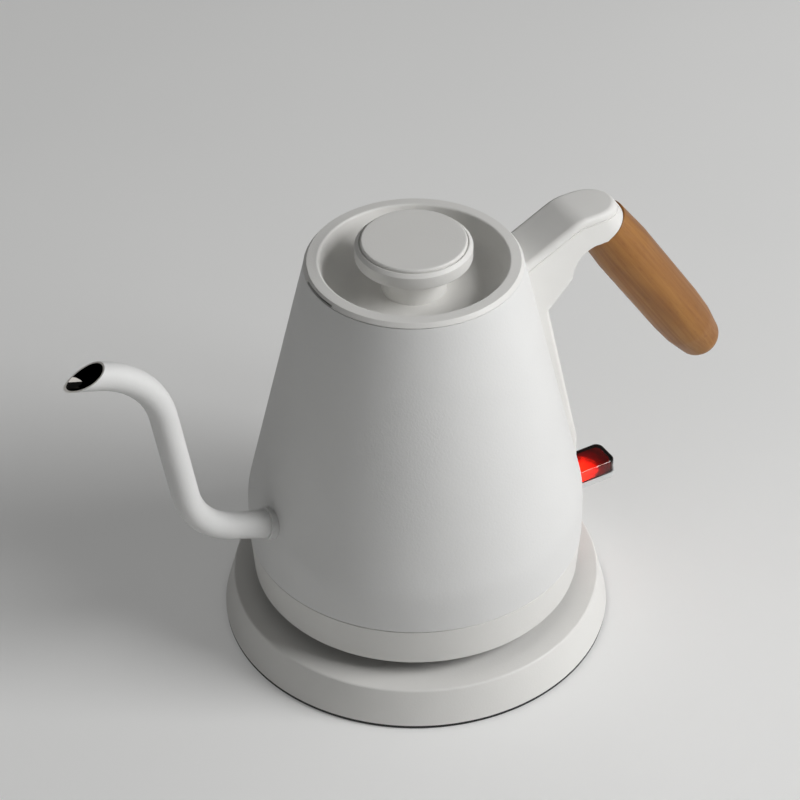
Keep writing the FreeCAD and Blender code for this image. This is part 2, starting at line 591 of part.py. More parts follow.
def make_base():
    inner_top_z = base_high_z - base_wall
    seat_inner_z = seat_z - base_wall
    plate_r = smaller(base_inner_r(base_low_z), base_inner_r(plate_high_z)) - plate_gap
    foot_place_r = plate_r - foot_inset
    foot_spots = [around(foot_place_r, angle) for angle in FOOT_ANGLES]
    screw_spots = [around(foot_place_r - post_inset, angle) for angle in FOOT_ANGLES]
    gland_z = plate_high_z + gland_rise + gland_flange_r
    gland_wall_y = smaller(base_inner_r(gland_z - gland_flange_r), base_inner_r(gland_z + gland_flange_r))
    gland_near_y = gland_wall_y - gland_seat_gap - gland_flange
    gland_far_y = base_outer_r(gland_z) + gland_proud

    skin = turned("base_skin", [
        (base_low_r, base_low_z), (base_high_r, base_high_z, base_edge), (seat_r, base_high_z),
        (seat_r, seat_z), (seat_hole_r, seat_z), (seat_hole_r, seat_inner_z),
        (seat_r - base_wall, seat_inner_z), (seat_r - base_wall, inner_top_z),
        (base_high_r - base_wall, inner_top_z), (base_low_r - base_wall, base_low_z),
    ])
    posts = [
        cylinder("base_post", post_r, inner_top_z + OVERLAP - plate_high_z, x, y, plate_high_z)
        for x, y in screw_spots
    ]
    pilots = [
        cylinder("base_pilot", base_screw_r, base_screw_high_z - plate_high_z, x, y, plate_high_z)
        for x, y in screw_spots
    ]
    gland_hole = cylinder("gland_hole", gland_r, TOOL_REACH, 0, gland_near_y, gland_z, ACROSS)
    shell = joined("base_shell", [skin] + posts)
    node("base_top_shell", without("base_top_shell", shell, pilots + [gland_hole]))

    gland_long = gland_far_y - gland_near_y
    bush = cylinder("gland_bush", gland_r, gland_long, 0, gland_near_y, gland_z, ACROSS)
    flange = cylinder("gland_rim", gland_flange_r, gland_flange, 0, gland_near_y, gland_z, ACROSS)
    bore = cylinder("gland_bore", gland_bore_r, gland_long, 0, gland_near_y, gland_z, ACROSS)
    node("cord_gland", without("cord_gland", joined("gland_solid", [bush, flange]), [bore]))

    disc = cylinder("plate_disc", plate_r, plate_high_z - plate_low_z, 0, 0, plate_low_z)
    pockets = [
        cylinder("foot_pocket", foot_r, foot_high_z - plate_low_z, x, y, plate_low_z) for x, y in foot_spots
    ]
    counterbores = [
        cylinder("plate_counterbore", screw_head_r + head_room, screw_head_tall, x, y, plate_low_z)
        for x, y in screw_spots
    ]
    passages = [
        cylinder("plate_passage", base_screw_r + head_room, plate_high_z - plate_low_z, x, y, plate_low_z)
        for x, y in screw_spots
    ]
    node("base_bottom_plate", without("base_bottom_plate", disc, pockets + counterbores + passages))

    for index, (x, y) in enumerate(foot_spots, 1):
        node("base_foot_%d" % index, cylinder("base_foot_%d" % index, foot_r, foot_high_z, x, y, 0))

    node("base_screws", small_screws("base_screws", screw_spots, plate_low_z, base_screw_high_z))


# The full-circle connector of the base
def make_connector():
    flange_z = seat_z - base_wall
    post = turned("connector_post", [
        (sleeve_r, connector_low_z), (connector_body_r, connector_low_z),
        (connector_body_r, flange_z - connector_flange), (connector_flange_r, flange_z - connector_flange),
        (connector_flange_r, flange_z), (connector_r, flange_z),
        (connector_r, post_top_z, contact_depth), (sleeve_r, post_top_z),
    ])
    rings = []
    for index in (1, 2):
        low_z = contact_low_z + (index - 1) * contact_pitch
        rings.append(turned("base_contact_ring_%d" % index, [
            (connector_r - contact_depth, low_z), (connector_r, low_z),
            (connector_r, low_z + contact_tall), (connector_r - contact_depth, low_z + contact_tall),
        ]))
    node("base_connector", without("base_connector", post, rings))
    for index, ring in enumerate(rings, 1):
        node("base_contact_ring_%d" % index, ring)
    node("base_contact_sleeve", turned("base_contact_sleeve", [
        (sleeve_bore_r, sleeve_low_z), (sleeve_r, sleeve_low_z),
        (sleeve_r, post_top_z), (sleeve_bore_r, post_top_z),
    ]))
    node("connector_shutter", turned("connector_shutter", [
        (connector_r + running_fit, flange_z), (shutter_r, flange_z),
        (shutter_r, flange_z + shutter_tall), (connector_r + running_fit, flange_z + shutter_tall),
    ]))


# The kettle's vessel, band and heater
def make_vessel():
    inside = body_r - body_wall
    skin = turned("body_skin", [
        (inside, seam_z), (body_r, seam_z), (body_r, bend_z, bend_round), (rim_r, rim_z),
        (rim_r - body_wall, rim_z), (inside, bend_z, bend_round - body_wall),
    ])
    spout_bore = cylinder(
        "spout_bore", spout_r - spout_wall, TOOL_REACH, spout_root_x, 0, spout_root_z, spout_axis())
    steam_in = cylinder(
        "steam_in", steam_in_r, TOOL_REACH, rim_r, 0, steam_in_z, OUTWARD)
    steam_out = cylinder(
        "steam_out", steam_out_r, TOOL_REACH, slot_near_x, 0, steam_out_z, OUTWARD)
    node("body_shell", without("body_shell", skin, [spout_bore, steam_in, steam_out]))

    node("vessel_floor", cylinder("vessel_floor", inside, floor_thick, 0, 0, floor_low_z))
    node("heat_spreader", cylinder(
        "heat_spreader", spreader_r, floor_low_z - spreader_low_z, 0, 0, spreader_low_z))
    node("heating_element", turned("heating_element", [
        (element_in_r, element_low_z), (element_out_r, element_low_z),
        (element_out_r, spreader_low_z), (element_in_r, spreader_low_z),
    ], element_angle))

    spigot_r = inside - spigot_gap
    band_skin = turned("band_skin", [
        (band_inner_r, band_low_z), (band_low_r, band_low_z, band_edge), (band_high_r, seam_z),
        (spigot_r, seam_z), (spigot_r, spigot_high_z), (band_inner_r, spigot_high_z),
    ])
    spots = [around(cover_post_place_r, angle) for angle in COVER_SCREW_ANGLES]
    posts = [
        cylinder("cover_post", cover_post_r, cover_post_high_z - cover_high_z, x, y, cover_high_z)
        for x, y in spots
    ]
    pilots = [
        cylinder("cover_pilot", base_screw_r, cover_screw_high_z - cover_high_z, x, y, cover_high_z)
        for x, y in spots
    ]
    slot = block("switch_slot", (slot_near_x, -slot_half, slot_low_z), (slot_far_x, slot_half, slot_high_z))
    steam_way = cylinder(
        "steam_way", steam_out_r, TOOL_REACH, slot_near_x, 0, steam_out_z, OUTWARD)
    band = joined("band_solid", [band_skin] + posts)
    node("lower_band", without("lower_band", band, pilots + [slot, steam_way]))

    disc = turned("cover_disc", [
        (control_r + cover_gap, seat_z), (band_inner_r - cover_gap, seat_z),
        (band_inner_r - cover_gap, cover_high_z), (control_r + cover_gap, cover_high_z),
    ])
    counterbores = [
        cylinder("cover_counterbore", screw_head_r + head_room, screw_head_tall, x, y, seat_z)
        for x, y in spots
    ]
    passages = [
        cylinder("cover_passage", base_screw_r + head_room, cover_high_z - seat_z, x, y, seat_z)
        for x, y in spots
    ]
    node("bottom_cover", without("bottom_cover", disc, counterbores + passages))
    node("bottom_screws", small_screws("bottom_screws", spots, seat_z, cover_screw_high_z))


# The control unit with its socket and contacts
def make_control():
    node("control_unit", turned("control_unit", [
        (socket_r, control_low_z), (control_r, control_low_z), (control_r, spreader_low_z),
        (0, spreader_low_z), (0, socket_high_z), (socket_r, socket_high_z),
    ]))
    node("control_pin", cylinder(
        "control_pin", control_pin_r, socket_high_z - control_pin_low_z, 0, 0, control_pin_low_z))
    for index in (1, 2):
        low_z = contact_low_z + (index - 1) * contact_pitch
        node("control_contact_%d" % index, turned("control_contact_%d" % index, [
            (connector_r + spring_gap, low_z), (socket_r, low_z),
            (socket_r, low_z + contact_tall), (connector_r + spring_gap, low_z + contact_tall),
        ], spring_angle))


# The spout
def spout_sweep(name, radius, path):
    start = Vector(spout_root_x.value, 0, spout_root_z.value)
    ring = doc.addObject("Part::Circle", name + "_section")
    bind(ring, "Radius", radius)
    ring.Placement = FreeCAD.Placement(start, FreeCAD.Rotation(UP, spout_axis()))
    doc.recompute()
    sweep = doc.addObject("Part::Sweep", name)
    sweep.Sections = [ring]
    sweep.Spine = (path, ["Edge%d" % row for row in range(1, len(path.Shape.Edges) + 1)])
    sweep.Solid = True
    sweep.Frenet = False
    return sweep


def make_spout():
    path = doc.addObject("Sketcher::SketchObject", "spout_path")
    path.Placement.Rotation = FreeCAD.Rotation(OUTWARD, 90)
    draw_outline(path, [
        (spout_root_x, spout_root_z), (spout_rise_x, spout_rise_z, spout_low_round),
        (spout_neck_x, spout_neck_z, spout_high_round), (spout_end_x, spout_end_z),
    ], closed=False)
    doc.recompute()
    outer = spout_sweep("spout_outer", spout_r, path)
    bore = spout_sweep("spout_inner", spout_r - spout_wall, path)

    flare = doc.addObject("Part::Cone", "spout_flare")
    bind(flare, "Radius1", root_flare_r)
    bind(flare, "Radius2", spout_r)
    bind(flare, "Height", root_flare_long)
    flare.Placement.Rotation = FreeCAD.Rotation(UP, spout_axis())
    place(flare, spout_root_x, 0, spout_root_z)

    # The pouring lip is one slanted cut through both lip points.
    lip = Vector(lip_high_x.value - lip_low_x.value, 0, lip_high_z.value - lip_low_z.value)
    cutter = doc.addObject("Part::Box", "lip_cutter")
    bind(cutter, "Length", lip_cutter)
    bind(cutter, "Width", lip_cutter)
    bind(cutter, "Height", lip_cutter)
    slant = FreeCAD.Rotation(ACROSS, -math.degrees(math.atan2(lip.z, lip.x)))
    back = slant.multVec(Vector(-lip_cutter.value / 2, -lip_cutter.value / 2, 0))
    middle = Vector(lip_low_x.value, 0, lip_low_z.value)
    cutter.Placement = FreeCAD.Placement(middle + back, slant)

    inner_body = turned("spout_body_cut", body_outline(0))
    tube = joined("spout_solid", [outer, flare])
    node("spout_tube", without("spout_tube", tube, [bore, cutter, inner_body]))

    ring = cylinder("collar_ring", collar_r, collar_out, spout_root_x, 0, spout_root_z, spout_axis())
    collar_body = turned("collar_body_cut", body_outline(seat_gap))
    node("spout_collar", without("spout_collar", ring, [tube, collar_body]))


# The handle arm, its cover and its fixing
def arm_reach(name):
    """A prism along the grip's axis with the arm's width and round end, from inside the body outward."""
    inner_x = -arm_half - 6 * TOOL_REACH
    corner = arm_half - stub_ease
    prism = plan_slab(name, [
        (inner_x, -arm_half), (arm_half, -arm_half, corner),
        (arm_half, arm_half, corner), (inner_x, arm_half),
    ], -5 * TOOL_REACH, 5 * TOOL_REACH)
    prism.Placement.Rotation = FreeCAD.Rotation(UP, lean_axis())
    return place(prism, *beside_grip(grip_long, stub_inset))


def arm_slope_z(x, top_z):
    """Height of the sloping top at x, for a level top at top_z."""
    return top_z - (arm_bend_x - x) * arm_slope


def make_arm():
    part_z = arm_top_z - arm_cover_thick
    near_x = arm_heel_x - TOOL_REACH / 2
    joint_x, _, joint_z = along_grip(grip_long)
    far_x, _, far_z = beside_grip(grip_long, -arm_half - 4 * OVERLAP)
    knee_x = joint_x + (arm_low_z - joint_z) * cosine(grip_tilt) / sine(grip_tilt)
    lower = side_slab("arm_lower", [
        (near_x, arm_slope_z(near_x, part_z)), (arm_heel_x, arm_heel_z), (arm_toe_x, arm_toe_z),
        (arm_crook_x, arm_crook_z), (arm_crook_x, arm_low_z, arm_crook_round), (knee_x, arm_low_z),
        (far_x, far_z), (far_x, part_z), (arm_bend_x, part_z, arm_bend_round),
    ], arm_half)
    upper = side_slab("arm_upper", [
        (near_x, arm_slope_z(near_x, part_z)), (arm_bend_x, part_z, arm_bend_round), (far_x, part_z),
        (far_x, arm_top_z), (arm_bend_x, arm_top_z, arm_bend_round), (near_x, arm_slope_z(near_x, arm_top_z)),
    ], arm_half)
    body_cut = turned("arm_body_cut", body_outline(seat_gap))

    hollow = side_slab("arm_hollow", [
        (near_x, arm_shelf_z), (arm_bend_x, arm_shelf_z), (arm_bend_x, arm_top_z), (near_x, arm_top_z),
    ], arm_half - arm_wall)
    # The round end reaches below the web, down to the wood, square to the grip's axis.
    stub_high = grip_long + TOOL_REACH / 2
    stub_rod = grip_cylinder("arm_stub_rod", arm_half - stub_ease, grip_long, stub_high, stub_inset)
    stub_room = block(
        "arm_stub_room", (arm_crook_x, -arm_half, arm_crook_z), (far_x, arm_half, part_z - OVERLAP))
    stub = shared("arm_stub", [stub_rod, stub_room])
    outside = joined("arm_outside", [shared("arm_web", [lower, arm_reach("arm_outer_reach")]), stub])

    duct = block("arm_duct", (rim_r, -duct_half, arm_heel_z - OVERLAP), (duct_far_x, duct_half, duct_high_z))
    room = bracket_half + bracket_fit
    pocket = block(
        "bracket_pocket", (rim_r, -room, bracket_low_z),
        (bracket_end_x + bracket_fit, room, bracket_low_z + bracket_thick))
    rod_hole = grip_cylinder("arm_rod_hole", rod_r + rod_room, nut_low - 2 * TOOL_REACH, nut_low + OVERLAP)
    nut_space = grip_cylinder("arm_nut_space", nut_r + nut_room, nut_low, nut_low + TOOL_REACH)
    spots = [(arm_screw_x, arm_screw_y), (arm_screw_x, -arm_screw_y)]
    passages = [
        cylinder("arm_screw_passage", arm_screw_r, arm_shelf_z - arm_screw_low_z, x, y, arm_screw_low_z)
        for x, y in spots
    ]
    hollows = [hollow, body_cut, duct, pocket, rod_hole, nut_space] + passages
    node("handle_arm", without("handle_arm", outside, hollows))

    cover = shared("cover_blank", [upper, arm_reach("cover_reach")])
    middle_x = arm_bend_x.value

    def on_top_edge(edge):
        spot = edge.valueAt((edge.FirstParameter + edge.LastParameter) / 2)
        level = arm_top_z.value - max(0.0, middle_x - spot.x) * arm_slope.value
        across = abs(edge.Vertexes[0].Y + edge.Vertexes[-1].Y) < 1.0 and edge.BoundBox.XLength < OVERLAP
        tall = edge.BoundBox.ZLength > arm_cover_thick.value / 2 and edge.BoundBox.XLength < OVERLAP
        on_end = spot.x > middle_x + TOOL_REACH and edge.BoundBox.ZLength < OVERLAP
        return abs(spot.z - level) < 1.0 and not tall and (on_end or not across)

    soft_cover = rounded("cover_soft", cover, arm_edge, on_top_edge)
    cover_body_cut = turned("cover_body_cut", body_outline(seat_gap))
    node("handle_top_cover", without("handle_top_cover", soft_cover, [cover_body_cut]))

    bar = block(
        "bracket_bar", (rim_r, -bracket_half, bracket_low_z),
        (bracket_end_x, bracket_half, bracket_low_z + bracket_thick))
    bracket_body_cut = turned("bracket_body_cut", body_outline(0))
    node("handle_bracket", without("handle_bracket", bar, [bracket_body_cut] + [
        cylinder("bracket_thread", arm_screw_r, bracket_thick, x, y, bracket_low_z) for x, y in spots
    ]))
    shank_long = arm_shelf_z - arm_screw_low_z
    screws = []
    for x, y in spots:
        screws.append(cylinder("arm_screw_cap", arm_screw_head_r, arm_screw_head, x, y, arm_shelf_z))
        screws.append(cylinder("arm_screw_shank", arm_screw_r, shank_long, x, y, arm_screw_low_z))
    node("handle_screws", joined("handle_screws", screws))


# The wooden grip on its rod
def make_grip():
    wood = turned("grip_blank", [
        (0, 0), (grip_tip_r, 0, grip_tip_round), (grip_waist_r, grip_waist, grip_blend / 2),
        (grip_r, grip_full_low, grip_blend), (grip_swell_r, grip_full_high, grip_blend),
        (grip_top_r, grip_long), (0, grip_long),
    ])
    wood.Placement.Rotation = FreeCAD.Rotation(UP, lean_axis())
    place(wood, grip_end_x, 0, grip_end_z)
    rod_hole = grip_cylinder("grip_rod_hole", rod_r, rod_low, grip_long + OVERLAP)
    node("wooden_grip", without("wooden_grip", wood, [rod_hole]))
    rod = grip_cylinder("grip_rod", rod_r, rod_low, rod_high)
    node("grip_rod", rod)
    hexagon = doc.addObject("Part::Prism", "grip_nut_blank")
    hexagon.Polygon = 6
    bind(hexagon, "Circumradius", nut_r)
    bind(hexagon, "Height", nut_thick)
    hexagon.Placement.Rotation = FreeCAD.Rotation(UP, lean_axis())
    place(hexagon, *along_grip(nut_low))
    thread = grip_cylinder("grip_nut_thread", rod_r, nut_low - OVERLAP, nut_low + nut_thick + OVERLAP)
    node("grip_nut", without("grip_nut", hexagon, [thread]))


# The spine cover, which is also the steam duct
def spine_slab(name, inset, half_width, top_drop):
    return side_slab(name, [
        (spine_top_x - inset, arm_toe_z - (arm_toe_x - spine_top_x + inset) * toe_slope() - top_drop),
        (arm_heel_x, arm_heel_z - top_drop), (spine_inner_x, spine_low_z + inset),
        (spine_bend_x - inset, spine_low_z + inset), (spine_bend_x - inset, spine_bend_z, spine_round),
    ], half_width)


def toe_slope():
    return (arm_toe_z - arm_heel_z) / (arm_toe_x - arm_heel_x)


def make_spine():
    outside = spine_slab("spine_outside", as_size(0), spine_half, as_size(0))
    inside = spine_slab("spine_inside", spine_wall, spine_half - spine_wall, as_size(0))
    body_cut = turned("spine_body_cut", body_outline(seat_gap))

    def on_long_edge(edge):
        spot = edge.valueAt((edge.FirstParameter + edge.LastParameter) / 2)
        outer_x = spine_top_x.value + (spine_bend_x.value - spine_top_x.value) * min(
            1.0, (arm_toe_z.value - spot.z) / (arm_toe_z.value - spine_bend_z.value))
        side = abs(edge.Vertexes[0].Y - edge.Vertexes[-1].Y) < 1.0
        return side and abs(spot.x - outer_x) < 1.0 and edge.BoundBox.ZLength > 1.0

    soft = rounded("spine_soft", outside, spine_edge, on_long_edge)
    node("spine_cover", without("spine_cover", soft, [inside, body_cut]))


# The lid with its knob
def make_lid():
    dish = turned("lid_dish_blank", [
        (lid_screw_r, dish_z - lid_thick), (lid_screw_r, dish_z),
        (lid_wall_r, dish_z, dish_round), (lid_crown_r, lid_crown_z, lid_crown_round),
        (lid_edge_r, lid_edge_z), (rim_r, lid_side_z), (rim_r, rim_z), (plug_r, rim_z),
        (plug_r, seal_low_z + seal_tall), (plug_r - seal_depth, seal_low_z + seal_tall),
        (plug_r - seal_depth, seal_low_z), (plug_r, seal_low_z), (plug_r, plug_low_z),
        (plug_r - lid_thick, plug_low_z), (plug_r - lid_thick, rim_z),
        (lid_crown_r, rim_z), (lid_wall_r + lid_thick / 2, dish_z - lid_thick, dish_round),
    ])
    notch_far = rim_r + OVERLAP
    notch = turned("lid_notch", [
        (rim_r - notch_depth, rim_z), (notch_far, rim_z),
        (notch_far, rim_z + notch_tall), (rim_r - notch_depth, rim_z + notch_tall),
    ], 2 * notch_half_angle)
    notch.Placement.Rotation = FreeCAD.Rotation(UP, 180 + notch_half_angle.value)
    node("lid_dish", without("lid_dish", dish, [notch]))
    node("lid_seal", turned("lid_seal", [
        (plug_r - seal_depth, seal_low_z), (plug_r, seal_low_z), (seal_r, seal_low_z + seal_tall / 2),
        (plug_r, seal_low_z + seal_tall), (plug_r - seal_depth, seal_low_z + seal_tall),
    ]))
    node("lid_inner_cover", cylinder(
        "lid_inner_cover", plug_r, inner_cover_thick, 0, 0, plug_low_z - inner_cover_thick))
    knob = turned("lid_knob_blank", [
        (0, dish_z), (stem_r, dish_z), (stem_r, knob_low_z, knob_under_round),
        (knob_r, knob_low_z, knob_edge_round), (knob_r, knob_high_z - knob_bevel),
        (knob_r - knob_bevel, knob_high_z), (knob_recess_r, knob_high_z),
        (knob_recess_r, knob_high_z - knob_recess), (0, knob_high_z - knob_recess),
    ])
    thread = cylinder("knob_thread", lid_screw_r, lid_screw_high_z - dish_z, 0, 0, dish_z)
    node("lid_knob", without("lid_knob", knob, [thread]))
    node("lid_knob_cap", turned("lid_knob_cap", [
        (0, knob_high_z - knob_recess), (cap_r, knob_high_z - knob_recess),
        (cap_r, cap_high_z, cap_round), (0, cap_high_z),
    ]))
    head_z = dish_z - lid_thick
    head = cylinder("lid_screw_cap", lid_screw_head_r, lid_screw_head, 0, 0, head_z - lid_screw_head)
    shank = cylinder("lid_screw_shank", lid_screw_r, lid_screw_high_z - head_z, 0, 0, head_z)
    node("lid_screw", joined("lid_screw", [head, shank]))


# The switch lever in its frame
def lever_slab(name, back_x, end_x, half_width, corner, low_z, high_z):
    return plan_slab(name, [
        (back_x, -half_width), (end_x, -half_width, corner),
        (end_x, half_width, corner), (back_x, half_width),
    ], low_z, high_z)


def make_switch():
    carrier_wide = 2 * carrier_half
    tongue = lever_slab(
        "carrier_tongue", carrier_back_x, carrier_end_x, carrier_half, carrier_round,
        carrier_low_z, carrier_high_z)
    web = block(
        "carrier_web", (carrier_back_x, -carrier_half, carrier_low_z),
        (carrier_front_x, carrier_half, pivot_z))
    barrel = cylinder("carrier_barrel", barrel_r, carrier_wide, pivot_x, -carrier_half, pivot_z, ACROSS)
    rest_high = carrier_high_z + lamp_rest
    rest = block(
        "lamp_rest_block", (lamp_low_x, -lamp_r, carrier_high_z),
        (lamp_low_x + lamp_long / 2, lamp_r, rest_high))
    bore = cylinder(
        "carrier_bore", pin_r + running_fit, carrier_wide, pivot_x, -carrier_half, pivot_z, ACROSS)
    solid = joined("carrier_solid", [tongue, web, barrel, rest])
    node("switch_carrier", without("switch_carrier", solid, [bore]))

    crown = lever_slab(
        "lens_crown", lens_back_x, lens_end_x, lens_half, lens_round, carrier_high_z, lens_high_z)

    def on_lens_top(edge):
        spot = edge.valueAt((edge.FirstParameter + edge.LastParameter) / 2)
        return abs(spot.z - lens_high_z.value) < 0.01 and spot.x > lens_back_x.value + OVERLAP

    soft = rounded("lens_soft", crown, lens_edge, on_lens_top)
    hollow = lever_slab(
        "lens_hollow", lens_back_x + lens_wall, lens_end_x - lens_wall, lens_half - lens_wall,
        lens_round - lens_wall / 2, carrier_high_z, lens_high_z - lens_wall)
    node("switch_lens", without("switch_lens", soft, [hollow]))
    node("indicator_lamp", cylinder(
        "indicator_lamp", lamp_r, lamp_long, lamp_low_x, 0, rest_high + lamp_r, OUTWARD))

    inner_half = carrier_half + frame_room
    frame_wide = 2 * frame_half
    case = block(
        "frame_case", (frame_back_x, -frame_half, cover_high_z), (frame_end_x, frame_half, frame_high_z))
    space = block(
        "frame_space", (frame_back_x + frame_plate, -inner_half, cover_high_z + frame_plate),
        (frame_end_x + OVERLAP, inner_half, frame_high_z + OVERLAP))
    pin_hole = cylinder("frame_pin_hole", pin_r, frame_wide, pivot_x, -frame_half, pivot_z, ACROSS)
    node("switch_frame", without("switch_frame", case, [space, pin_hole]))
    node("switch_pin", cylinder("switch_pin", pin_r, frame_wide, pivot_x, -frame_half, pivot_z, ACROSS))
    node("bimetal_disc", cylinder(
        "bimetal_disc", bimetal_r, bimetal_thick, frame_back_x - bimetal_thick, 0, pivot_z, OUTWARD))


def check_document():
    """Stops unless every object is sound and every sub-part is a valid solid."""
    for item in doc.Objects:
        if "Invalid" in item.State or "Error" in item.State:
            raise RuntimeError("%s is %s" % (item.Name, item.State))
    for name, item in nodes:
        shape = item.Shape
        if shape.isNull() or not shape.isValid() or not shape.Solids:
            raise RuntimeError("%s has no valid solid" % name)


def main():
    make_base()
    make_connector()
    make_vessel()
    make_control()
    make_spout()
    make_arm()
    make_grip()
    make_spine()
    make_lid()
    make_switch()
    doc.recompute()
    check_document()
    os.makedirs("parts", exist_ok=True)
    for name, item in nodes:
        item.Shape.exportStep("parts/%s.step" % name)
    print("%d sub-parts written" % len(nodes))


main()
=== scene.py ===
"""Looks of an electric gooseneck kettle on its power base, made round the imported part.

Frame: +Z up, handle along +X, spout along -X, the feet stand on z = 0. Sizes are in millimetres.
"""

import json
import math

import bmesh
import bpy
from mathutils import Matrix, Vector


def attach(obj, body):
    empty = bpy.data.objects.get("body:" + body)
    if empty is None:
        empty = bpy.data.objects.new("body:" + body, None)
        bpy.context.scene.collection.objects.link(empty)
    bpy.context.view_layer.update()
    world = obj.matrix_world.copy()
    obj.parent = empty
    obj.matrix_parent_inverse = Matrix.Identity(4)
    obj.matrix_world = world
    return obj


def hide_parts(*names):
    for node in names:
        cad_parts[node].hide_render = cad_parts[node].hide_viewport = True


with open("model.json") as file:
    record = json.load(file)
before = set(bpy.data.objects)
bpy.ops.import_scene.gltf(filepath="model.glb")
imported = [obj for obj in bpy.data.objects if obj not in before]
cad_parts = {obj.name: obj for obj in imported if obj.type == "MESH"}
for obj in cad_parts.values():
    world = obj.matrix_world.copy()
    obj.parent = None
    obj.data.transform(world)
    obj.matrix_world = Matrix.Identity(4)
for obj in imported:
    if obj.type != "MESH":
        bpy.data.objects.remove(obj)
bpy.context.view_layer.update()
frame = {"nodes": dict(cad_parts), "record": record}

MM = 0.001
SEGMENTS = 224
ARC_STEP = 7.5
SHARP = math.radians(32.0)
WELD = 1e-6
SLICE_NEAR = 1e-8
ROD_SIDES = 48


# Shapes: profiles, turned shells, cuts and finished pieces
def rounded_line(points):
    """Runs through (r, z) or (r, z, rounding), with each rounding drawn as an arc."""
    spots = [Vector((point[0], point[1], 0.0)) for point in points]
    count = len(points)
    line = []
    for index, point in enumerate(points):
        here = spots[index]
        if len(point) == 2:
            line.append(here)
            continue
        come = (here - spots[index - 1]).normalized()
        leave = (spots[(index + 1) % count] - here).normalized()
        turn = come.angle(leave)
        way = 1.0 if come.cross(leave).z > 0.0 else -1.0
        start = here - come * point[2] * math.tan(turn / 2)
        centre = start + Vector((-come.y, come.x, 0.0)) * point[2] * way
        steps = max(3, math.ceil(math.degrees(turn) / ARC_STEP))
        for step in range(steps + 1):
            line.append(centre + Matrix.Rotation(way * turn * step / steps, 3, "Z") @ (start - centre))
    return line


def spaced(line, gap, closed=True):
    """Adds points so that no run of a line is longer than a gap."""
    result = []
    count = len(line)
    for index in range(count if closed else count - 1):
        here, ahead = line[index], line[(index + 1) % count]
        parts = max(1, math.ceil((ahead - here).length / gap))
        result += [here.lerp(ahead, part / parts) for part in range(parts)]
    return result if closed else result + [line[-1]]


def turned(profile, gap, shape=None, segments=SEGMENTS):
    """A closed profile of (radius, height) turned round the kettle's axis."""
    line = spaced(rounded_line(profile), gap)
    mesh = bmesh.new()
    rings = []
    for step in range(segments):
        angle = 2 * math.pi * step / segments
        ring = []
        for spot in line:
            radius, height = shape(spot.x, spot.y, angle) if shape else (spot.x, spot.y)
            ring.append(mesh.verts.new((
                radius * math.cos(angle) * MM, radius * math.sin(angle) * MM, height * MM)))
        rings.append(ring)
    for step in range(segments):
        here, ahead = rings[step], rings[(step + 1) % segments]
        for index in range(len(line)):
            follow = (index + 1) % len(line)
            mesh.faces.new((here[index], ahead[index], ahead[follow], here[follow]))
    bmesh.ops.remove_doubles(mesh, verts=mesh.verts, dist=WELD / 10)
    bmesh.ops.recalc_face_normals(mesh, faces=mesh.faces)
    return mesh


def rod(radius, start, end):
    """A round cutting rod between two points."""
    start, end = Vector(start) * MM, Vector(end) * MM
    aim = (end - start).to_track_quat("Z", "Y").to_matrix().to_4x4()
    mesh = bmesh.new()
    bmesh.ops.create_cone(
        mesh, cap_ends=True, segments=ROD_SIDES, radius1=radius * MM, radius2=radius * MM,
        depth=(end - start).length, matrix=Matrix.Translation((start + end) / 2) @ aim)
    return mesh


def bar(low, high):
    """A straight-sided cutting bar between two corners."""
    low, high = Vector(low) * MM, Vector(high) * MM
    mesh = bmesh.new()
    grow = Matrix.Diagonal((high - low).to_4d())
    grow[3][3] = 1.0
    bmesh.ops.create_cube(mesh, size=1.0, matrix=Matrix.Translation((low + high) / 2) @ grow)
    return mesh


def loose_object(name, mesh):
    """A new object at the origin that takes over a mesh."""
    data = bpy.data.meshes.new(name)
    mesh.to_mesh(data)
    mesh.free()
    item = bpy.data.objects.new(name, data)
    bpy.context.collection.objects.link(item)
    return item


def evaluated(item):
    """The mesh of an object with its modifiers, and the object removed."""
    depsgraph = bpy.context.evaluated_depsgraph_get()
    data = bpy.data.meshes.new_from_object(item.evaluated_get(depsgraph))
    item.modifiers.clear()
    bpy.data.objects.remove(item)
    mesh = bmesh.new()
    mesh.from_mesh(data)
    return mesh


def carved(mesh, tools):
    """Cuts tools out of a mesh."""
    blank = loose_object("blank", mesh)
    cutters = [loose_object("cutter", tool) for tool in tools]
    for cutter in cutters:
        step = blank.modifiers.new("cut", "BOOLEAN")
        step.operation = "DIFFERENCE"
        step.solver = "EXACT"
        step.object = cutter
    result = evaluated(blank)
    for cutter in cutters:
        bpy.data.objects.remove(cutter)
    return result


def sliced(mesh, place, normal, drop_front=False):
    """Cuts a mesh's faces along a plane, and can drop what lies in front of it."""
    bmesh.ops.bisect_plane(
        mesh, geom=mesh.verts[:] + mesh.edges[:] + mesh.faces[:], dist=SLICE_NEAR,
        plane_co=place, plane_no=normal, clear_outer=drop_front)


def cad_copy(node):
    """A welded copy of a node's mesh."""
    mesh = bmesh.new()
    mesh.from_mesh(frame["nodes"][node].data)
    bmesh.ops.remove_doubles(mesh, verts=mesh.verts, dist=WELD)
    return mesh


def piece(name, mesh, finish, body, nodes, turn_out=True):
    """A finished object with soft shading, in place of the nodes that it stands for."""
    if turn_out:
        bmesh.ops.recalc_face_normals(mesh, faces=mesh.faces)
    for face in mesh.faces:
        face.smooth = True
    for edge in mesh.edges:
        edge.smooth = len(edge.link_faces) == 2 and edge.calc_face_angle(math.pi) < SHARP
    item = loose_object(name, mesh)
    for one in finish if isinstance(finish, list) else [finish]:
        item.data.materials.append(one)
    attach(item, body)
    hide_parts(*nodes)


# Materials
# Noise mostly stays between these two levels.
NOISE_LOW = 0.3
NOISE_HIGH = 0.7
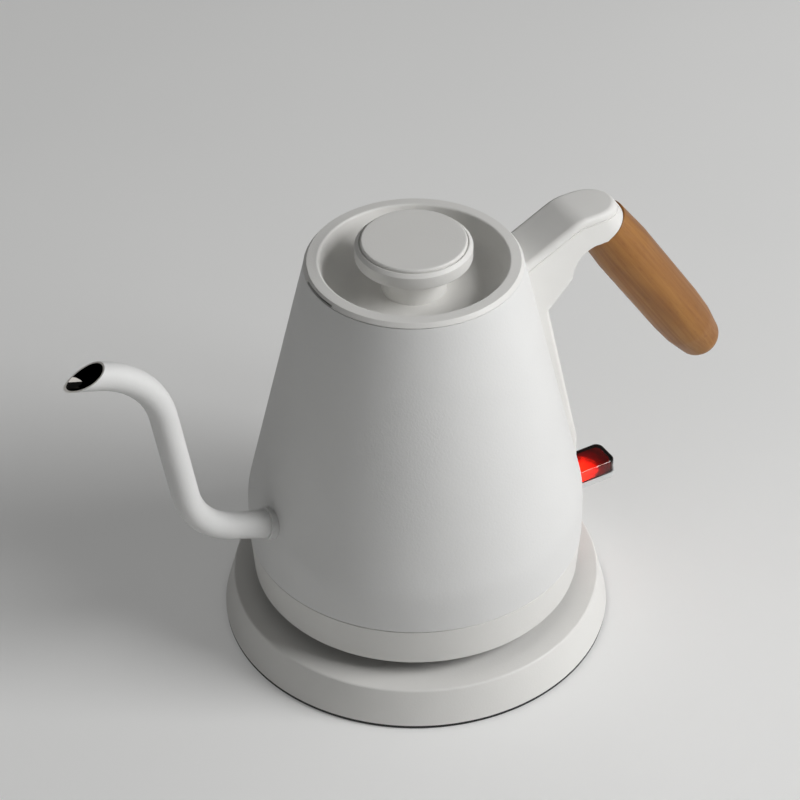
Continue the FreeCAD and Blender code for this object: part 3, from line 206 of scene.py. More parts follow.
# Beech: width of each pattern in mm, its stretch along the grain, detail and distortion.
# Streaks are some 50 mm long. Flecks are drawn coarser than real ones, so that they show.
FIGURE = (12.0, 0.12, 2.0, 0.5)
STREAKS = (1.2, 0.024, 3.0, 0.0)
FLECKS = (0.6, 0.14, 1.0, 0.0)
STREAK_SHARE = 0.32
FLECK_SHARE = 0.2
FLECK_DEPTH = 0.1
# Lens and lamp: size in mm of each pattern, and how far the lens's painted glow reaches and sways.
LENS_FLOW = 6.0
CAVITY_RIPPLE = 3.0
LAMP_MOTTLE = 2.0
GLOW_REACH = 16.0
GLOW_SWAY = 3.0


def tint(text):
    """An sRGB hex colour as linear values."""
    parts = [int(text[place:place + 2], 16) / 255 for place in (1, 3, 5)]
    linear = [part / 12.92 if part <= 0.04045 else ((part + 0.055) / 1.055) ** 2.4 for part in parts]
    return (*linear, 1.0)


def put(tree, kind, feeds=None, stops=None, **settings):
    """Adds a node, with settings, and feeds its sockets with values or with other nodes' outputs."""
    item = tree.nodes.new(kind)
    for key, value in settings.items():
        setattr(item, key, value)
    for key, value in (feeds or {}).items():
        if isinstance(value, bpy.types.NodeSocket):
            tree.links.new(value, item.inputs[key])
        else:
            item.inputs[key].default_value = value
    if stops:
        ramp = item.color_ramp.elements
        while len(ramp) < len(stops):
            ramp.new(1.0)
        for spot, (place, colour) in zip(ramp, stops):
            spot.position = place
            spot.color = tint(colour)
    return item


def new_finish(name):
    """A new material and its empty node tree."""
    finish = bpy.data.materials.new(name)
    finish.use_nodes = True
    tree = finish.node_tree
    tree.nodes.clear()
    return finish, tree


def grained(name, low, high, cloud_mm, grain_mm, rough, rough_swing, lift, sockets):
    """A moulded, coated or rolled surface: soft clouds of tone, and a fine grain in gloss and height."""
    finish, tree = new_finish(name)
    place = put(tree, "ShaderNodeTexCoord").outputs["Object"]
    cloud = put(tree, "ShaderNodeTexNoise", {"Vector": place, "Scale": 1 / (cloud_mm * MM), "Detail": 3.0})
    grain = put(tree, "ShaderNodeTexNoise", {"Vector": place, "Scale": 1 / (grain_mm * MM), "Detail": 2.0})
    colour = put(tree, "ShaderNodeValToRGB", {"Fac": cloud.outputs["Fac"]}, stops=[
        (NOISE_LOW, low), (NOISE_HIGH, high)])
    gloss = put(tree, "ShaderNodeMapRange", {
        "Value": grain.outputs["Fac"], "From Min": NOISE_LOW, "From Max": NOISE_HIGH,
        "To Min": rough - rough_swing, "To Max": rough + rough_swing})
    relief = put(tree, "ShaderNodeBump", {
        "Height": grain.outputs["Fac"], "Strength": lift, "Distance": grain_mm * MM * 0.5})
    shader = put(tree, "ShaderNodeBsdfPrincipled", {
        "Base Color": colour.outputs["Color"], "Roughness": gloss.outputs["Result"],
        "Normal": relief.outputs["Normal"], **sockets})
    put(tree, "ShaderNodeOutputMaterial", {"Surface": shader.outputs["BSDF"]})
    return finish


def beech_wood(name, lean):
    """Oiled beech turned along its grain: broad soft figure, long fine streaks, faint flecks, satin gloss."""
    finish, tree = new_finish(name)
    place = put(tree, "ShaderNodeTexCoord").outputs["Object"]
    along = put(tree, "ShaderNodeMapping", {"Vector": place, "Rotation": (0.0, math.radians(lean), 0.0)})
    patterns = []
    for width_mm, stretch, detail, distortion in (FIGURE, STREAKS, FLECKS):
        drawn_out = put(tree, "ShaderNodeMapping", {
            "Vector": along.outputs["Vector"], "Scale": (1.0, 1.0, stretch)})
        pattern = put(tree, "ShaderNodeTexNoise", {
            "Vector": drawn_out.outputs["Vector"], "Scale": 1 / (width_mm * MM), "Detail": detail,
            "Distortion": distortion})
        patterns.append(pattern.outputs["Fac"])
    figure, streaks, flecks = patterns
    # The inputs of a Mix node share their names, so they go by number: the share, then what is mixed.
    blended = put(tree, "ShaderNodeMix", {0: STREAK_SHARE, 2: figure, 3: streaks}, data_type="FLOAT")
    tone = put(tree, "ShaderNodeValToRGB", {"Fac": blended.outputs[0]}, stops=[
        (0.34, "#84531C"), (0.47, "#935F23"), (0.55, "#9D6929"), (0.68, "#AA7735")])
    dark = put(tree, "ShaderNodeValToRGB", {"Fac": flecks}, stops=[
        (0.28, "#B98F66"), (0.40, "#FFFFFF")])
    colour = put(tree, "ShaderNodeMix", {
        0: FLECK_SHARE, 6: tone.outputs["Color"], 7: dark.outputs["Color"]},
        data_type="RGBA", blend_type="MULTIPLY")
    gloss = put(tree, "ShaderNodeMapRange", {
        "Value": streaks, "From Min": NOISE_LOW, "From Max": NOISE_HIGH, "To Min": 0.50, "To Max": 0.40})
    relief = put(tree, "ShaderNodeBump", {
        "Height": flecks, "Strength": 0.05, "Distance": FLECK_DEPTH * MM})
    shader = put(tree, "ShaderNodeBsdfPrincipled", {
        "Base Color": colour.outputs[2], "Roughness": gloss.outputs["Result"],
        "Normal": relief.outputs["Normal"], "IOR": 1.5, "Coat Weight": 0.08, "Coat Roughness": 0.28})
    put(tree, "ShaderNodeOutputMaterial", {"Surface": shader.outputs["BSDF"]})
    return finish


def red_acrylic_painted_light(name, inner_x, outer_x):
    """Clear red acrylic, moulded and glossy: deep red, with a painted orange-red glow near the lamp and a
    painted pale highlight at its end.
    """
    finish, tree = new_finish(name)
    place = put(tree, "ShaderNodeTexCoord").outputs["Object"]
    apart = put(tree, "ShaderNodeSeparateXYZ", {"Vector": place})
    flow = put(tree, "ShaderNodeTexNoise", {"Vector": place, "Scale": 1 / (LENS_FLOW * MM), "Detail": 1.0})
    outward = put(tree, "ShaderNodeMapRange", {
        "Value": apart.outputs["X"], "From Min": inner_x * MM, "From Max": outer_x * MM})
    # Painted light: an orange-red glow near the lamp, deep red outward, and a pale painted highlight at the
    # end.
    colour = put(tree, "ShaderNodeValToRGB", {"Fac": outward.outputs["Result"]}, stops=[
        (0.0, "#FF5A40"), (0.4, "#F84030"), (0.75, "#F03428"), (0.92, "#D85A50"), (1.0, "#E6B8B0")])
    gloss = put(tree, "ShaderNodeMapRange", {
        "Value": flow.outputs["Fac"], "From Min": NOISE_LOW, "From Max": NOISE_HIGH,
        "To Min": 0.02, "To Max": 0.05})
    shader = put(tree, "ShaderNodeBsdfPrincipled", {
        "Base Color": colour.outputs["Color"], "Roughness": gloss.outputs["Result"], "IOR": 1.49,
        "Transmission Weight": 1.0})
    put(tree, "ShaderNodeOutputMaterial", {"Surface": shader.outputs["BSDF"]})
    return finish


def cavity_painted_glow(name, lamp_end):
    """The lens's inner walls, satin from the mould: a painted glow near the lamp's end, in colour and
    emission, falling off to a dark red.
    """
    finish, tree = new_finish(name)
    place = put(tree, "ShaderNodeTexCoord").outputs["Object"]
    apart = put(tree, "ShaderNodeSeparateXYZ", {"Vector": place})
    past_lamp = put(tree, "ShaderNodeMath", {
        0: apart.outputs["X"], 1: lamp_end.x * MM}, operation="MAXIMUM")
    from_lamp = put(tree, "ShaderNodeCombineXYZ", {
        "X": past_lamp.outputs["Value"], "Y": apart.outputs["Y"], "Z": apart.outputs["Z"]})
    reach = put(tree, "ShaderNodeVectorMath", {
        0: from_lamp.outputs["Vector"], 1: lamp_end * MM}, operation="DISTANCE")
    ripple = put(tree, "ShaderNodeTexNoise", {
        "Vector": place, "Scale": 1 / (CAVITY_RIPPLE * MM), "Detail": 2.0})
    sway = put(tree, "ShaderNodeMapRange", {
        "Value": ripple.outputs["Fac"], "To Min": -GLOW_SWAY * MM, "To Max": GLOW_SWAY * MM})
    spot = put(tree, "ShaderNodeMath", {
        0: reach.outputs["Value"], 1: sway.outputs["Result"]}, operation="ADD")
    away = put(tree, "ShaderNodeMapRange", {
        "Value": spot.outputs["Value"], "From Min": 0.0, "From Max": GLOW_REACH * MM})
    # Painted glow: orange-red by the lamp's end, falling off to a dark red.
    colour = put(tree, "ShaderNodeValToRGB", {"Fac": away.outputs["Result"]}, stops=[
        (0.0, "#FF5A30"), (0.3, "#F02414"), (0.5, "#A0160F"), (0.75, "#6E100D"), (1.0, "#8A201A")])
    # The walls give off light near the lamp's end, a painted glow, though they are no lamp.
    glow = put(tree, "ShaderNodeMapRange", {
        "Value": away.outputs["Result"], "From Min": 0.1, "From Max": 0.5, "To Min": 1.6, "To Max": 0.0})
    shader = put(tree, "ShaderNodeBsdfPrincipled", {
        "Base Color": colour.outputs["Color"], "Roughness": 0.3, "IOR": 1.49,
        "Emission Color": tint("#FF5C38"), "Emission Strength": glow.outputs["Result"]})
    put(tree, "ShaderNodeOutputMaterial", {"Surface": shader.outputs["BSDF"]})
    return finish


def lamp_glow(name):
    """A small glow lamp's glass: an orange light, slightly uneven."""
    finish, tree = new_finish(name)
    place = put(tree, "ShaderNodeTexCoord").outputs["Object"]
    mottle = put(tree, "ShaderNodeTexNoise", {"Vector": place, "Scale": 1 / (LAMP_MOTTLE * MM)})
    colour = put(tree, "ShaderNodeValToRGB", {"Fac": mottle.outputs["Fac"]}, stops=[
        (NOISE_LOW, "#FF5A22"), (NOISE_HIGH, "#FF8A4A")])
    shader = put(tree, "ShaderNodeBsdfPrincipled", {
        "Base Color": colour.outputs["Color"], "Roughness": 0.2, "IOR": 1.5,
        "Emission Color": colour.outputs["Color"], "Emission Strength": 6.0})
    put(tree, "ShaderNodeOutputMaterial", {"Surface": shader.outputs["BSDF"]})
    return finish


GRIP_LEAN = 34.6
LENS_FROM_X = 66.0
LENS_END_X = 95.0
plain = {"IOR": 1.5}
metal = {"Metallic": 1.0}
# Each grained row: name, two tones, clouds and grain in mm, roughness and its swing, relief, other sockets.
finishes = {
    # Powder coat over steel: matte, with a fine orange-peel grain, drawn at 0.9 mm so that it shows.
    "white_painted_steel": grained(
        "powder_coated_steel_white", "#E2E2E1", "#E7E7E6", 70.0, 0.9, 0.56, 0.06, 0.12, plain),
    # Moulded ABS: even white with a spark-eroded matte face, drawn at 0.7 mm so that it shows.
    "white_plastic": grained(
        "moulded_abs_white", "#E5E4E1", "#EAE9E6", 60.0, 0.7, 0.50, 0.05, 0.14, plain),
    # Moulded polypropylene in black: a dull, slightly mottled face.
    "black_plastic": grained(
        "moulded_polypropylene_black", "#101011", "#18181A", 25.0, 0.8, 0.52, 0.08, 0.06, plain),
    # Moulded nylon, off-white: waxy and even.
    "grey_plastic": grained(
        "moulded_nylon_pale", "#D2D3D3", "#DADBDB", 25.0, 0.8, 0.44, 0.06, 0.04, plain),
    # Moulded rubber: black, dull, slightly dusty.
    "rubber": grained("moulded_rubber_black", "#161616", "#202020", 8.0, 0.6, 0.82, 0.06, 0.10, plain),
    # Moulded silicone: milky grey with a soft gloss.
    "silicone": grained("moulded_silicone_milky", "#CFD0CC", "#D8D9D5", 12.0, 0.8, 0.42, 0.06, 0.04, plain),
    # Drawn stainless steel, polished: bright, with faint draw marks.
    "steel": grained("polished_stainless_steel", "#AFACA6", "#BEBBB5", 12.0, 0.5, 0.13, 0.04, 0.02, metal),
    # Rolled aluminium: pale and satin.
    "aluminium": grained("rolled_aluminium_satin", "#C4C6C8", "#D2D4D6", 15.0, 0.5, 0.38, 0.07, 0.04, metal),
    # Turned brass: warm and bright.
    "brass": grained("turned_brass", "#B68D3C", "#C8A24E", 6.0, 0.4, 0.28, 0.06, 0.03, metal),
    "wood": beech_wood("turned_beech_oiled", GRIP_LEAN),
    "red_lens": red_acrylic_painted_light("moulded_acrylic_red_clear_painted_light", LENS_FROM_X, LENS_END_X),
    "lamp_glass": lamp_glow("glow_lamp_glass"),
}
slots = {row["node"]: row["material_slot"] for row in frame["record"]["subparts"]}
for node, item in frame["nodes"].items():
    item.data.materials.clear()
    item.data.materials.append(finishes[slots[node]])

white_paint = finishes["white_painted_steel"]
white_abs = finishes["white_plastic"]
# Drawn stainless steel inside the spout: mirror-like, with its colour and edge tint painted dark to stand in
# for the dark reflections inside the tube.
steel_painted_dark = grained(
    "drawn_stainless_steel_inside_painted_dark", "#383735", "#444240", 12.0, 0.5, 0.035, 0.02, 0.01,
    {"Metallic": 1.0, "Specular Tint": tint("#5A5856")})
# The spout's ground rim: bare steel, satin, and painted paler than steel as a painted highlight, so that it
# shows as a fine bright line.
rim_steel_painted_bright = grained(
    "ground_stainless_steel_rim_painted_bright", "#EFECE6", "#F5F2EC", 6.0, 0.4, 0.50, 0.06, 0.03, {"Metallic": 0.5})

# Power base: a leaning skirt, a flat top, the raised seat and the gland's hole
GLAND_HOLE = (4.4, (0, 71.0, 9.3), (0, 84.0, 9.3))
base_shell = carved(turned([
    (80.0, 1.7), (75.9, 17.0, 1.0), (36.0, 17.0, 0.8), (36.0, 24.6, 0.6), (17.0, 24.6, 0.4),
    (17.0, 22.4), (33.8, 22.4), (33.8, 14.8), (73.7, 14.8), (77.8, 1.7),
], gap=3.0), [rod(*GLAND_HOLE)])
piece("base_shell", base_shell, white_abs, "base", ["base_top_shell"])

# Base plate: black, with its foot and screw holes, and an added black edge that stands out under the shell as
# a painted shadow line
FOOT_RING = 67.003
SCREW_RING = 54.003
QUARTER_FROM = 45.0
# Each hole: its ring, radius and depth.
FOOT_POCKET = (FOOT_RING, 6.05, 2.0)
HEAD_POCKET = (SCREW_RING, 3.1, 2.5)
SHANK_HOLE = (SCREW_RING, 1.5, 5.0)
plate_cuts = []
for quarter in range(4):
    angle = math.radians(QUARTER_FROM + 90 * quarter)
    for ring_radius, radius, depth in (FOOT_POCKET, HEAD_POCKET, SHANK_HOLE):
        x, y = ring_radius * math.cos(angle), ring_radius * math.sin(angle)
        plate_cuts.append(rod(radius, (x, y, 0.0), (x, y, depth)))
plate = carved(turned([
    (0.0, 1.2), (76.2, 1.2), (77.0, 0.25), (79.9, 0.25, 0.2), (79.9, 1.65, 0.05), (77.0, 1.65), (77.0, 3.8),
    (0.0, 3.8),
], gap=6.0), plate_cuts)
piece("base_plate", plate, finishes["black_plastic"], "base", ["base_bottom_plate"])

# Lower band, with the slot that the switch lever comes out of and the steam outlet
LEVER_SLOT = ((62.0, -8.0, 28.6), (72.0, 8.0, 40.3))
STEAM_OUT = (2.0, (62.0, 0, 44.4), (74.0, 0, 44.4))
band = carved(turned([
    (64.8, 23.85), (67.0, 23.85, 0.8), (68.3, 41.3, 0.2), (67.3, 41.3), (67.3, 47.0), (64.8, 47.0),
], gap=2.0), [bar(*LEVER_SLOT), rod(*STEAM_OUT)])
piece("band", band, white_abs, "kettle", ["lower_band"])

# Body: an upright foot, a long soft bend and the cone, with the spout's hole and the steam's way in and out
STEAM_IN = (3.0, (42.4, 0, 145.0), (54.4, 0, 145.0))
SPOUT_HOLE_R = 4.6
SPOUT_HOLE_LONG = 12.0
SPOUT_ROOT = Vector((-62.0, 0.0, 67.0))
SPOUT_RISE = Vector((-99.2, 0.0, 80.2))
SPOUT_NECK = Vector((-112.1, 0.0, 161.7))
SPOUT_END = Vector((-152.0, 0.0, 174.8))
spout_way = (SPOUT_RISE - SPOUT_ROOT).normalized()
body = carved(turned([
    (67.6, 41.7), (68.4, 41.7, 0.2), (68.4, 60.1, 32.0), (42.4, 170.8, 0.2), (41.6, 170.8),
    (67.6, 60.1, 31.2),
], gap=2.0), [
    rod(SPOUT_HOLE_R, SPOUT_ROOT, SPOUT_ROOT + SPOUT_HOLE_LONG * spout_way), rod(*STEAM_IN), rod(*STEAM_OUT),
])
piece("body", body, white_paint, "kettle", ["body_shell"])


# Gooseneck: a swept tube with a tapered root and a slanted lip
SPOUT_SIDES = 72


def sweep_tree():
    """Sweeps a round section along a path, with a taper at its root."""
    tree = bpy.data.node_groups.new("gooseneck_sweep", "GeometryNodeTree")
    tree.interface.new_socket("Path", in_out="INPUT", socket_type="NodeSocketGeometry")
    for label in ("Radius", "Root Radius", "Taper Length"):
        tree.interface.new_socket(label, in_out="INPUT", socket_type="NodeSocketFloat")
    tree.interface.new_socket("Finish", in_out="INPUT", socket_type="NodeSocketMaterial")
    tree.interface.new_socket("Tube", in_out="OUTPUT", socket_type="NodeSocketGeometry")
    given = put(tree, "NodeGroupInput")
    reach = put(tree, "GeometryNodeSplineParameter")
    girth = put(tree, "ShaderNodeMapRange", {
        "Value": reach.outputs["Length"], "From Min": 0.0, "From Max": given.outputs["Taper Length"],
        "To Min": given.outputs["Root Radius"], "To Max": given.outputs["Radius"]})
    section = put(tree, "GeometryNodeCurvePrimitiveCircle", {"Resolution": SPOUT_SIDES, "Radius": 1.0})
    tube = put(tree, "GeometryNodeCurveToMesh", {
        "Curve": given.outputs["Path"], "Profile Curve": section.outputs["Curve"],
        "Scale": girth.outputs["Result"]})
    real = put(tree, "GeometryNodeRealizeInstances", {"Geometry": tube.outputs["Mesh"]})
    dressed = put(tree, "GeometryNodeSetMaterial", {
        "Geometry": real.outputs["Geometry"], "Material": given.outputs["Finish"]})
    put(tree, "NodeGroupOutput", {"Tube": dressed.outputs["Geometry"]})
    return tree


def set_inputs(step, values):
    """Sets a node modifier's inputs by their sockets."""
    for socket in step.node_group.interface.items_tree:
        if socket.in_out == "INPUT" and socket.name in values:
            step[socket.identifier] = values[socket.name]


def swept(path, tree, values):
    """The mesh that a sweep makes of a path."""
    curve = bpy.data.curves.new("gooseneck_path", "CURVE")
    curve.dimensions = "3D"
    run = curve.splines.new("POLY")
    run.points.add(len(path) - 1)
    for point, spot in zip(run.points, path):
        point.co = (*(spot * MM), 1.0)
    item = bpy.data.objects.new("gooseneck_path", curve)
    bpy.context.collection.objects.link(item)
    step = item.modifiers.new("sweep", "NODES")
    step.node_group = tree
    set_inputs(step, values)
    return evaluated(item)


# The tube starts BODY_DEPTH along its path, at the body's wall. BETWEEN_ENDS_X lies between its two ends.
BODY_DEPTH = 4.9
TAPER = 14.1
SPOUT_R = 5.4
SPOUT_ROOT_R = 5.77
SPOUT_INNER_R = 4.85
RISE_ROUND = 31.0
NECK_ROUND = 36.0
PATH_GAP = 1.2
BETWEEN_ENDS_X = -100.0
spout_plan = [
    (0.0, 0.0), (SPOUT_RISE.x - SPOUT_ROOT.x, SPOUT_RISE.z - SPOUT_ROOT.z, RISE_ROUND),
    (SPOUT_NECK.x - SPOUT_ROOT.x, SPOUT_NECK.z - SPOUT_ROOT.z, NECK_ROUND),
    (SPOUT_END.x - SPOUT_ROOT.x, SPOUT_END.z - SPOUT_ROOT.z),
]
spout_path = [SPOUT_ROOT + Vector((spot.x, 0.0, spot.y)) for spot in rounded_line(spout_plan)]
spout_path = spaced([SPOUT_ROOT + BODY_DEPTH * spout_way] + spout_path[1:], PATH_GAP, closed=False)
sweep = sweep_tree()
LIP_LOW = Vector((-147.15, 0.0, 167.3))
LIP_HIGH = Vector((-130.4, 0.0, 173.5))
SCOOP = 0.75
lip_slope = (LIP_HIGH - LIP_LOW).normalized()
lip_normal = Vector((-lip_slope.z, 0.0, lip_slope.x))


def scoop(spot):
    """How far the lip is scooped below its straight slope at a spot."""
    reach = (spot / MM - LIP_LOW).dot(lip_slope) / (LIP_HIGH - LIP_LOW).length
    return 4.0 * SCOOP * max(0.0, reach * (1.0 - reach)) * MM


def lip_cut(mesh):
    """Cuts a tube along the slanted, slightly scooped lip."""
    rise = {vert: scoop(vert.co) for vert in mesh.verts}
    for vert, height in rise.items():
        vert.co += lip_normal * height
    sliced(mesh, LIP_LOW * MM, lip_normal, drop_front=True)
    for vert in mesh.verts:
        vert.co -= lip_normal * scoop(vert.co)


spout = bmesh.new()
for radius, root_radius, index in ((SPOUT_R, SPOUT_ROOT_R, 0), (SPOUT_INNER_R, SPOUT_INNER_R, 1)):
    tube = swept(spout_path, sweep, {
        "Radius": radius * MM, "Root Radius": root_radius * MM, "Taper Length": TAPER * MM,
        "Finish": white_paint if index == 0 else steel_painted_dark})
    lip_cut(tube)
    for face in tube.faces:
        face.material_index = index
    part = bpy.data.meshes.new("gooseneck_wall")
    tube.to_mesh(part)
    tube.free()
    spout.from_mesh(part)
    bpy.data.meshes.remove(part)
# The two walls are joined at the lip and at the root.
open_edges = [edge for edge in spout.edges if len(edge.link_faces) == 1]
for at_lip in (True, False):
    rim = [edge for edge in open_edges if (edge.verts[0].co.x < BETWEEN_ENDS_X * MM) == at_lip]
    for face in bmesh.ops.bridge_loops(spout, edges=rim)["faces"]:
        face.material_index = 2
bmesh.ops.recalc_face_normals(spout, faces=spout.faces)
piece(
    "gooseneck", spout, [white_paint, steel_painted_dark, rim_steel_painted_bright], "kettle", ["spout_tube"],
    turn_out=False)

# Lid: a flat ring, the dish and the pull notch; close points at NOTCH_HIGH_Z keep the notch's edge crisp
NOTCH_HALF = math.radians(11.4)
NOTCH_LOW_Z = 170.5
NOTCH_HIGH_Z = 171.9
NOTCH_FROM_R = 40.5
NOTCH_R = 38.6


def notched(radius, height, angle):
    """Takes the pull notch, a low deep slit, out of the lid's lower edge on the spout side."""
    away = abs(math.remainder(angle - math.pi, 2 * math.pi))
    inside = away < NOTCH_HALF and radius > NOTCH_FROM_R and NOTCH_LOW_Z < height < NOTCH_HIGH_Z
    return (NOTCH_R, height) if inside else (radius, height)


lid = turned([
    (0.0, 158.0), (0.0, 160.0), (33.0, 160.0, 9.0), (36.7, 173.2, 1.0), (41.2, 172.9, 0.4),
    (41.94, 171.92), (41.97, 171.88), (42.37, 171.34), (42.4, 171.28), (42.4, 171.1, 0.1), (41.4, 171.1),
    (41.4, 170.8), (40.2, 170.8), (40.2, 168.5), (39.3, 168.5), (39.3, 165.5),
    (40.2, 165.5), (40.2, 156.0, 0.4), (38.2, 156.0, 0.4), (38.2, 170.8), (36.7, 170.8), (34.0, 158.0, 9.0),
], gap=0.6, shape=notched)
piece("lid", lid, white_abs, "lid", ["lid_dish"])

# Knob: stem, disc and the cap set in it
knob = turned([
    (0.0, 160.0), (12.7, 160.0), (12.7, 174.5, 1.6), (22.7, 174.5, 0.5), (22.7, 179.6, 0.5),
    (21.4, 180.9, 0.2), (21.0, 180.9, 0.15), (21.0, 178.7), (0.0, 178.7),
], gap=1.5)
piece("knob", knob, white_abs, "lid", ["lid_knob"])
cap = turned([
    (0.0, 178.7), (20.95, 178.7), (20.95, 180.4), (20.6, 180.4), (20.6, 182.1, 0.9), (0.0, 182.1),
], gap=2.0)
piece("knob_cap", cap, white_abs, "lid", ["lid_knob_cap"])

# Arm, spine, collar and lever keep their own forms and get soft shading
for name, node, body_name in (
        ("arm", "handle_arm", "kettle"), ("spine", "spine_cover", "kettle"),
        ("collar", "spout_collar", "kettle"), ("lever", "switch_carrier", "switch")):
    piece(name, cad_copy(node), finishes[slots[node]], body_name, [node], turn_out=False)

# Lens: clear walls round a cavity with a painted glow from the lamp; its faces all lie within these bounds
CAVITY_HALF = 5.25
CAVITY_HIGH_Z = 36.95
CAVITY_END_X = 93.35
LAMP_END = Vector((79.5, -3.5, 35.0))
lens = cad_copy("switch_lens")
for face in lens.faces:
    corners = [vert.co / MM for vert in face.verts]
    inside = all(
        abs(spot.y) < CAVITY_HALF and spot.z < CAVITY_HIGH_Z and spot.x < CAVITY_END_X for spot in corners)
    face.material_index = 1 if inside else 0
piece(
    "lens", lens, [finishes["red_lens"], cavity_painted_glow("moulded_acrylic_red_inner_painted_glow", LAMP_END)], "switch",
    ["switch_lens"], turn_out=False)

# Top cover with its parting groove above the arm, then the turned grip
PARTING_Z = 168.1
ARM_BEND_X = 69.4
ARM_BEND_ROUND = 16.0
ARM_SLOPE = 0.49
GROOVE_TALL = 0.45
GROOVE_DEEP = 0.4
GROOVE_FROM_X = 62.5
GROOVE_STEPS = 13
EDGE_NEAR = 0.1
GRIP_END = Vector((145.5, 0.0, 73.2))
GRIP_LONG = 105.4
grip_way = Vector((-math.sin(math.radians(GRIP_LEAN)), 0.0, math.cos(math.radians(GRIP_LEAN))))


def parting(x):
    """Height of the face between arm and cover: a slope, a soft bend and a level run."""
    turn = math.atan(ARM_SLOPE)
    run = ARM_BEND_ROUND * math.tan(turn / 2)
    if x >= ARM_BEND_X + run:
        return PARTING_Z
    if x <= ARM_BEND_X - run * math.cos(turn):
        return PARTING_Z - (ARM_BEND_X - x) * ARM_SLOPE
    return PARTING_Z - ARM_BEND_ROUND + math.sqrt(ARM_BEND_ROUND ** 2 - (ARM_BEND_X + run - x) ** 2)


def grooved(mesh):
    """Draws in the cover's lower edge, which leaves a fine groove above the arm."""
    for step in range(GROOVE_STEPS):
        sliced(mesh, ((GROOVE_FROM_X + step) * MM, 0.0, 0.0), (1.0, 0.0, 0.0))
    for vert in mesh.verts:
        vert.co.z -= parting(vert.co.x / MM) * MM
    sliced(mesh, (0.0, 0.0, GROOVE_TALL * MM), (0.0, 0.0, 1.0))
    end_x = (GRIP_END + grip_way * (PARTING_Z - GRIP_END.z) / grip_way.z).x
    for vert in mesh.verts:
        if vert.co.z < EDGE_NEAR * MM:
            out = Vector((max(0.0, vert.co.x - end_x * MM), vert.co.y, 0.0))
            if out.length > GROOVE_DEEP * MM:
                vert.co -= out.normalized() * GROOVE_DEEP * MM
        vert.co.z += parting(vert.co.x / MM) * MM
    return mesh


piece(
    "cover", grooved(cad_copy("handle_top_cover")), white_abs, "kettle", ["handle_top_cover"],
    turn_out=False)

grip = turned([
    (0.0, 6.1), (8.3, 6.1, 7.6), (11.1, 24.4, 25.0), (11.65, 36.0, 60.0), (11.85, 86.0, 60.0),
    (10.8, GRIP_LONG, 0.4), (0.0, GRIP_LONG),
], gap=2.5, segments=128)
bmesh.ops.transform(
    grip, verts=grip.verts,
    matrix=Matrix.Translation(GRIP_END * MM) @ Matrix.Rotation(-math.radians(GRIP_LEAN), 4, "Y"))
piece("grip", grip, finishes["wood"], "kettle", ["wooden_grip"])


# Feet and small screws, set round the kettle's axis
def ring_tree():
    """Sets copies of a shape round the kettle's axis."""
    tree = bpy.data.node_groups.new("ring_of_copies", "GeometryNodeTree")
    for label, kind in (
            ("Shape", "Geometry"), ("Count", "Int"), ("Ring Radius", "Float"), ("First Angle", "Float"),
            ("Finish", "Material")):
        tree.interface.new_socket(label, in_out="INPUT", socket_type="NodeSocket" + kind)
    tree.interface.new_socket("Copies", in_out="OUTPUT", socket_type="NodeSocketGeometry")
    given = put(tree, "NodeGroupInput")
    ring = put(tree, "GeometryNodeMeshCircle", {
        "Vertices": given.outputs["Count"], "Radius": given.outputs["Ring Radius"]})
    start = put(tree, "ShaderNodeCombineXYZ", {"Z": given.outputs["First Angle"]})
    places = put(tree, "GeometryNodeTransform", {
        "Geometry": ring.outputs["Mesh"], "Rotation": start.outputs["Vector"]})
    copies = put(tree, "GeometryNodeInstanceOnPoints", {
        "Points": places.outputs["Geometry"], "Instance": given.outputs["Shape"]})
    real = put(tree, "GeometryNodeRealizeInstances", {"Geometry": copies.outputs["Instances"]})
    dressed = put(tree, "GeometryNodeSetMaterial", {
        "Geometry": real.outputs["Geometry"], "Material": given.outputs["Finish"]})
    put(tree, "NodeGroupOutput", {"Copies": dressed.outputs["Geometry"]})
    return tree


def ringed(mesh, tree, count, ring_radius, first_angle, finish):
    """The mesh of a ring of copies."""
    item = loose_object("ring_shape", mesh)
    step = item.modifiers.new("ring", "NODES")
    step.node_group = tree
    set_inputs(step, {
        "Count": count, "Ring Radius": ring_radius * MM, "First Angle": math.radians(first_angle),
        "Finish": finish})
    return evaluated(item)


HEAD_R = 2.8
HEAD_TALL = 1.3
HEAD_ROUND = 0.5
SHANK_R = 1.2
CROSS_HALF_LONG = 1.5
CROSS_HALF_WIDE = 0.35
CROSS_DEEP = 0.8
CUT_PAST = 1.0


def cross_screw(head_z, tip_z):
    """A small pan-head screw with its cross recess facing down."""
    neck_z = head_z + HEAD_TALL
    blank = turned([
        (0.0, head_z), (HEAD_R, head_z, HEAD_ROUND), (HEAD_R, neck_z), (SHANK_R, neck_z), (SHANK_R, tip_z),
        (0.0, tip_z),
    ], gap=2.0, segments=40)
    return carved(blank, [
        bar((-x, -y, head_z - CUT_PAST), (x, y, head_z + CROSS_DEEP))
        for x, y in ((CROSS_HALF_LONG, CROSS_HALF_WIDE), (CROSS_HALF_WIDE, CROSS_HALF_LONG))
    ])


COVER_RING = 60.4
COVER_FROM = 60.0
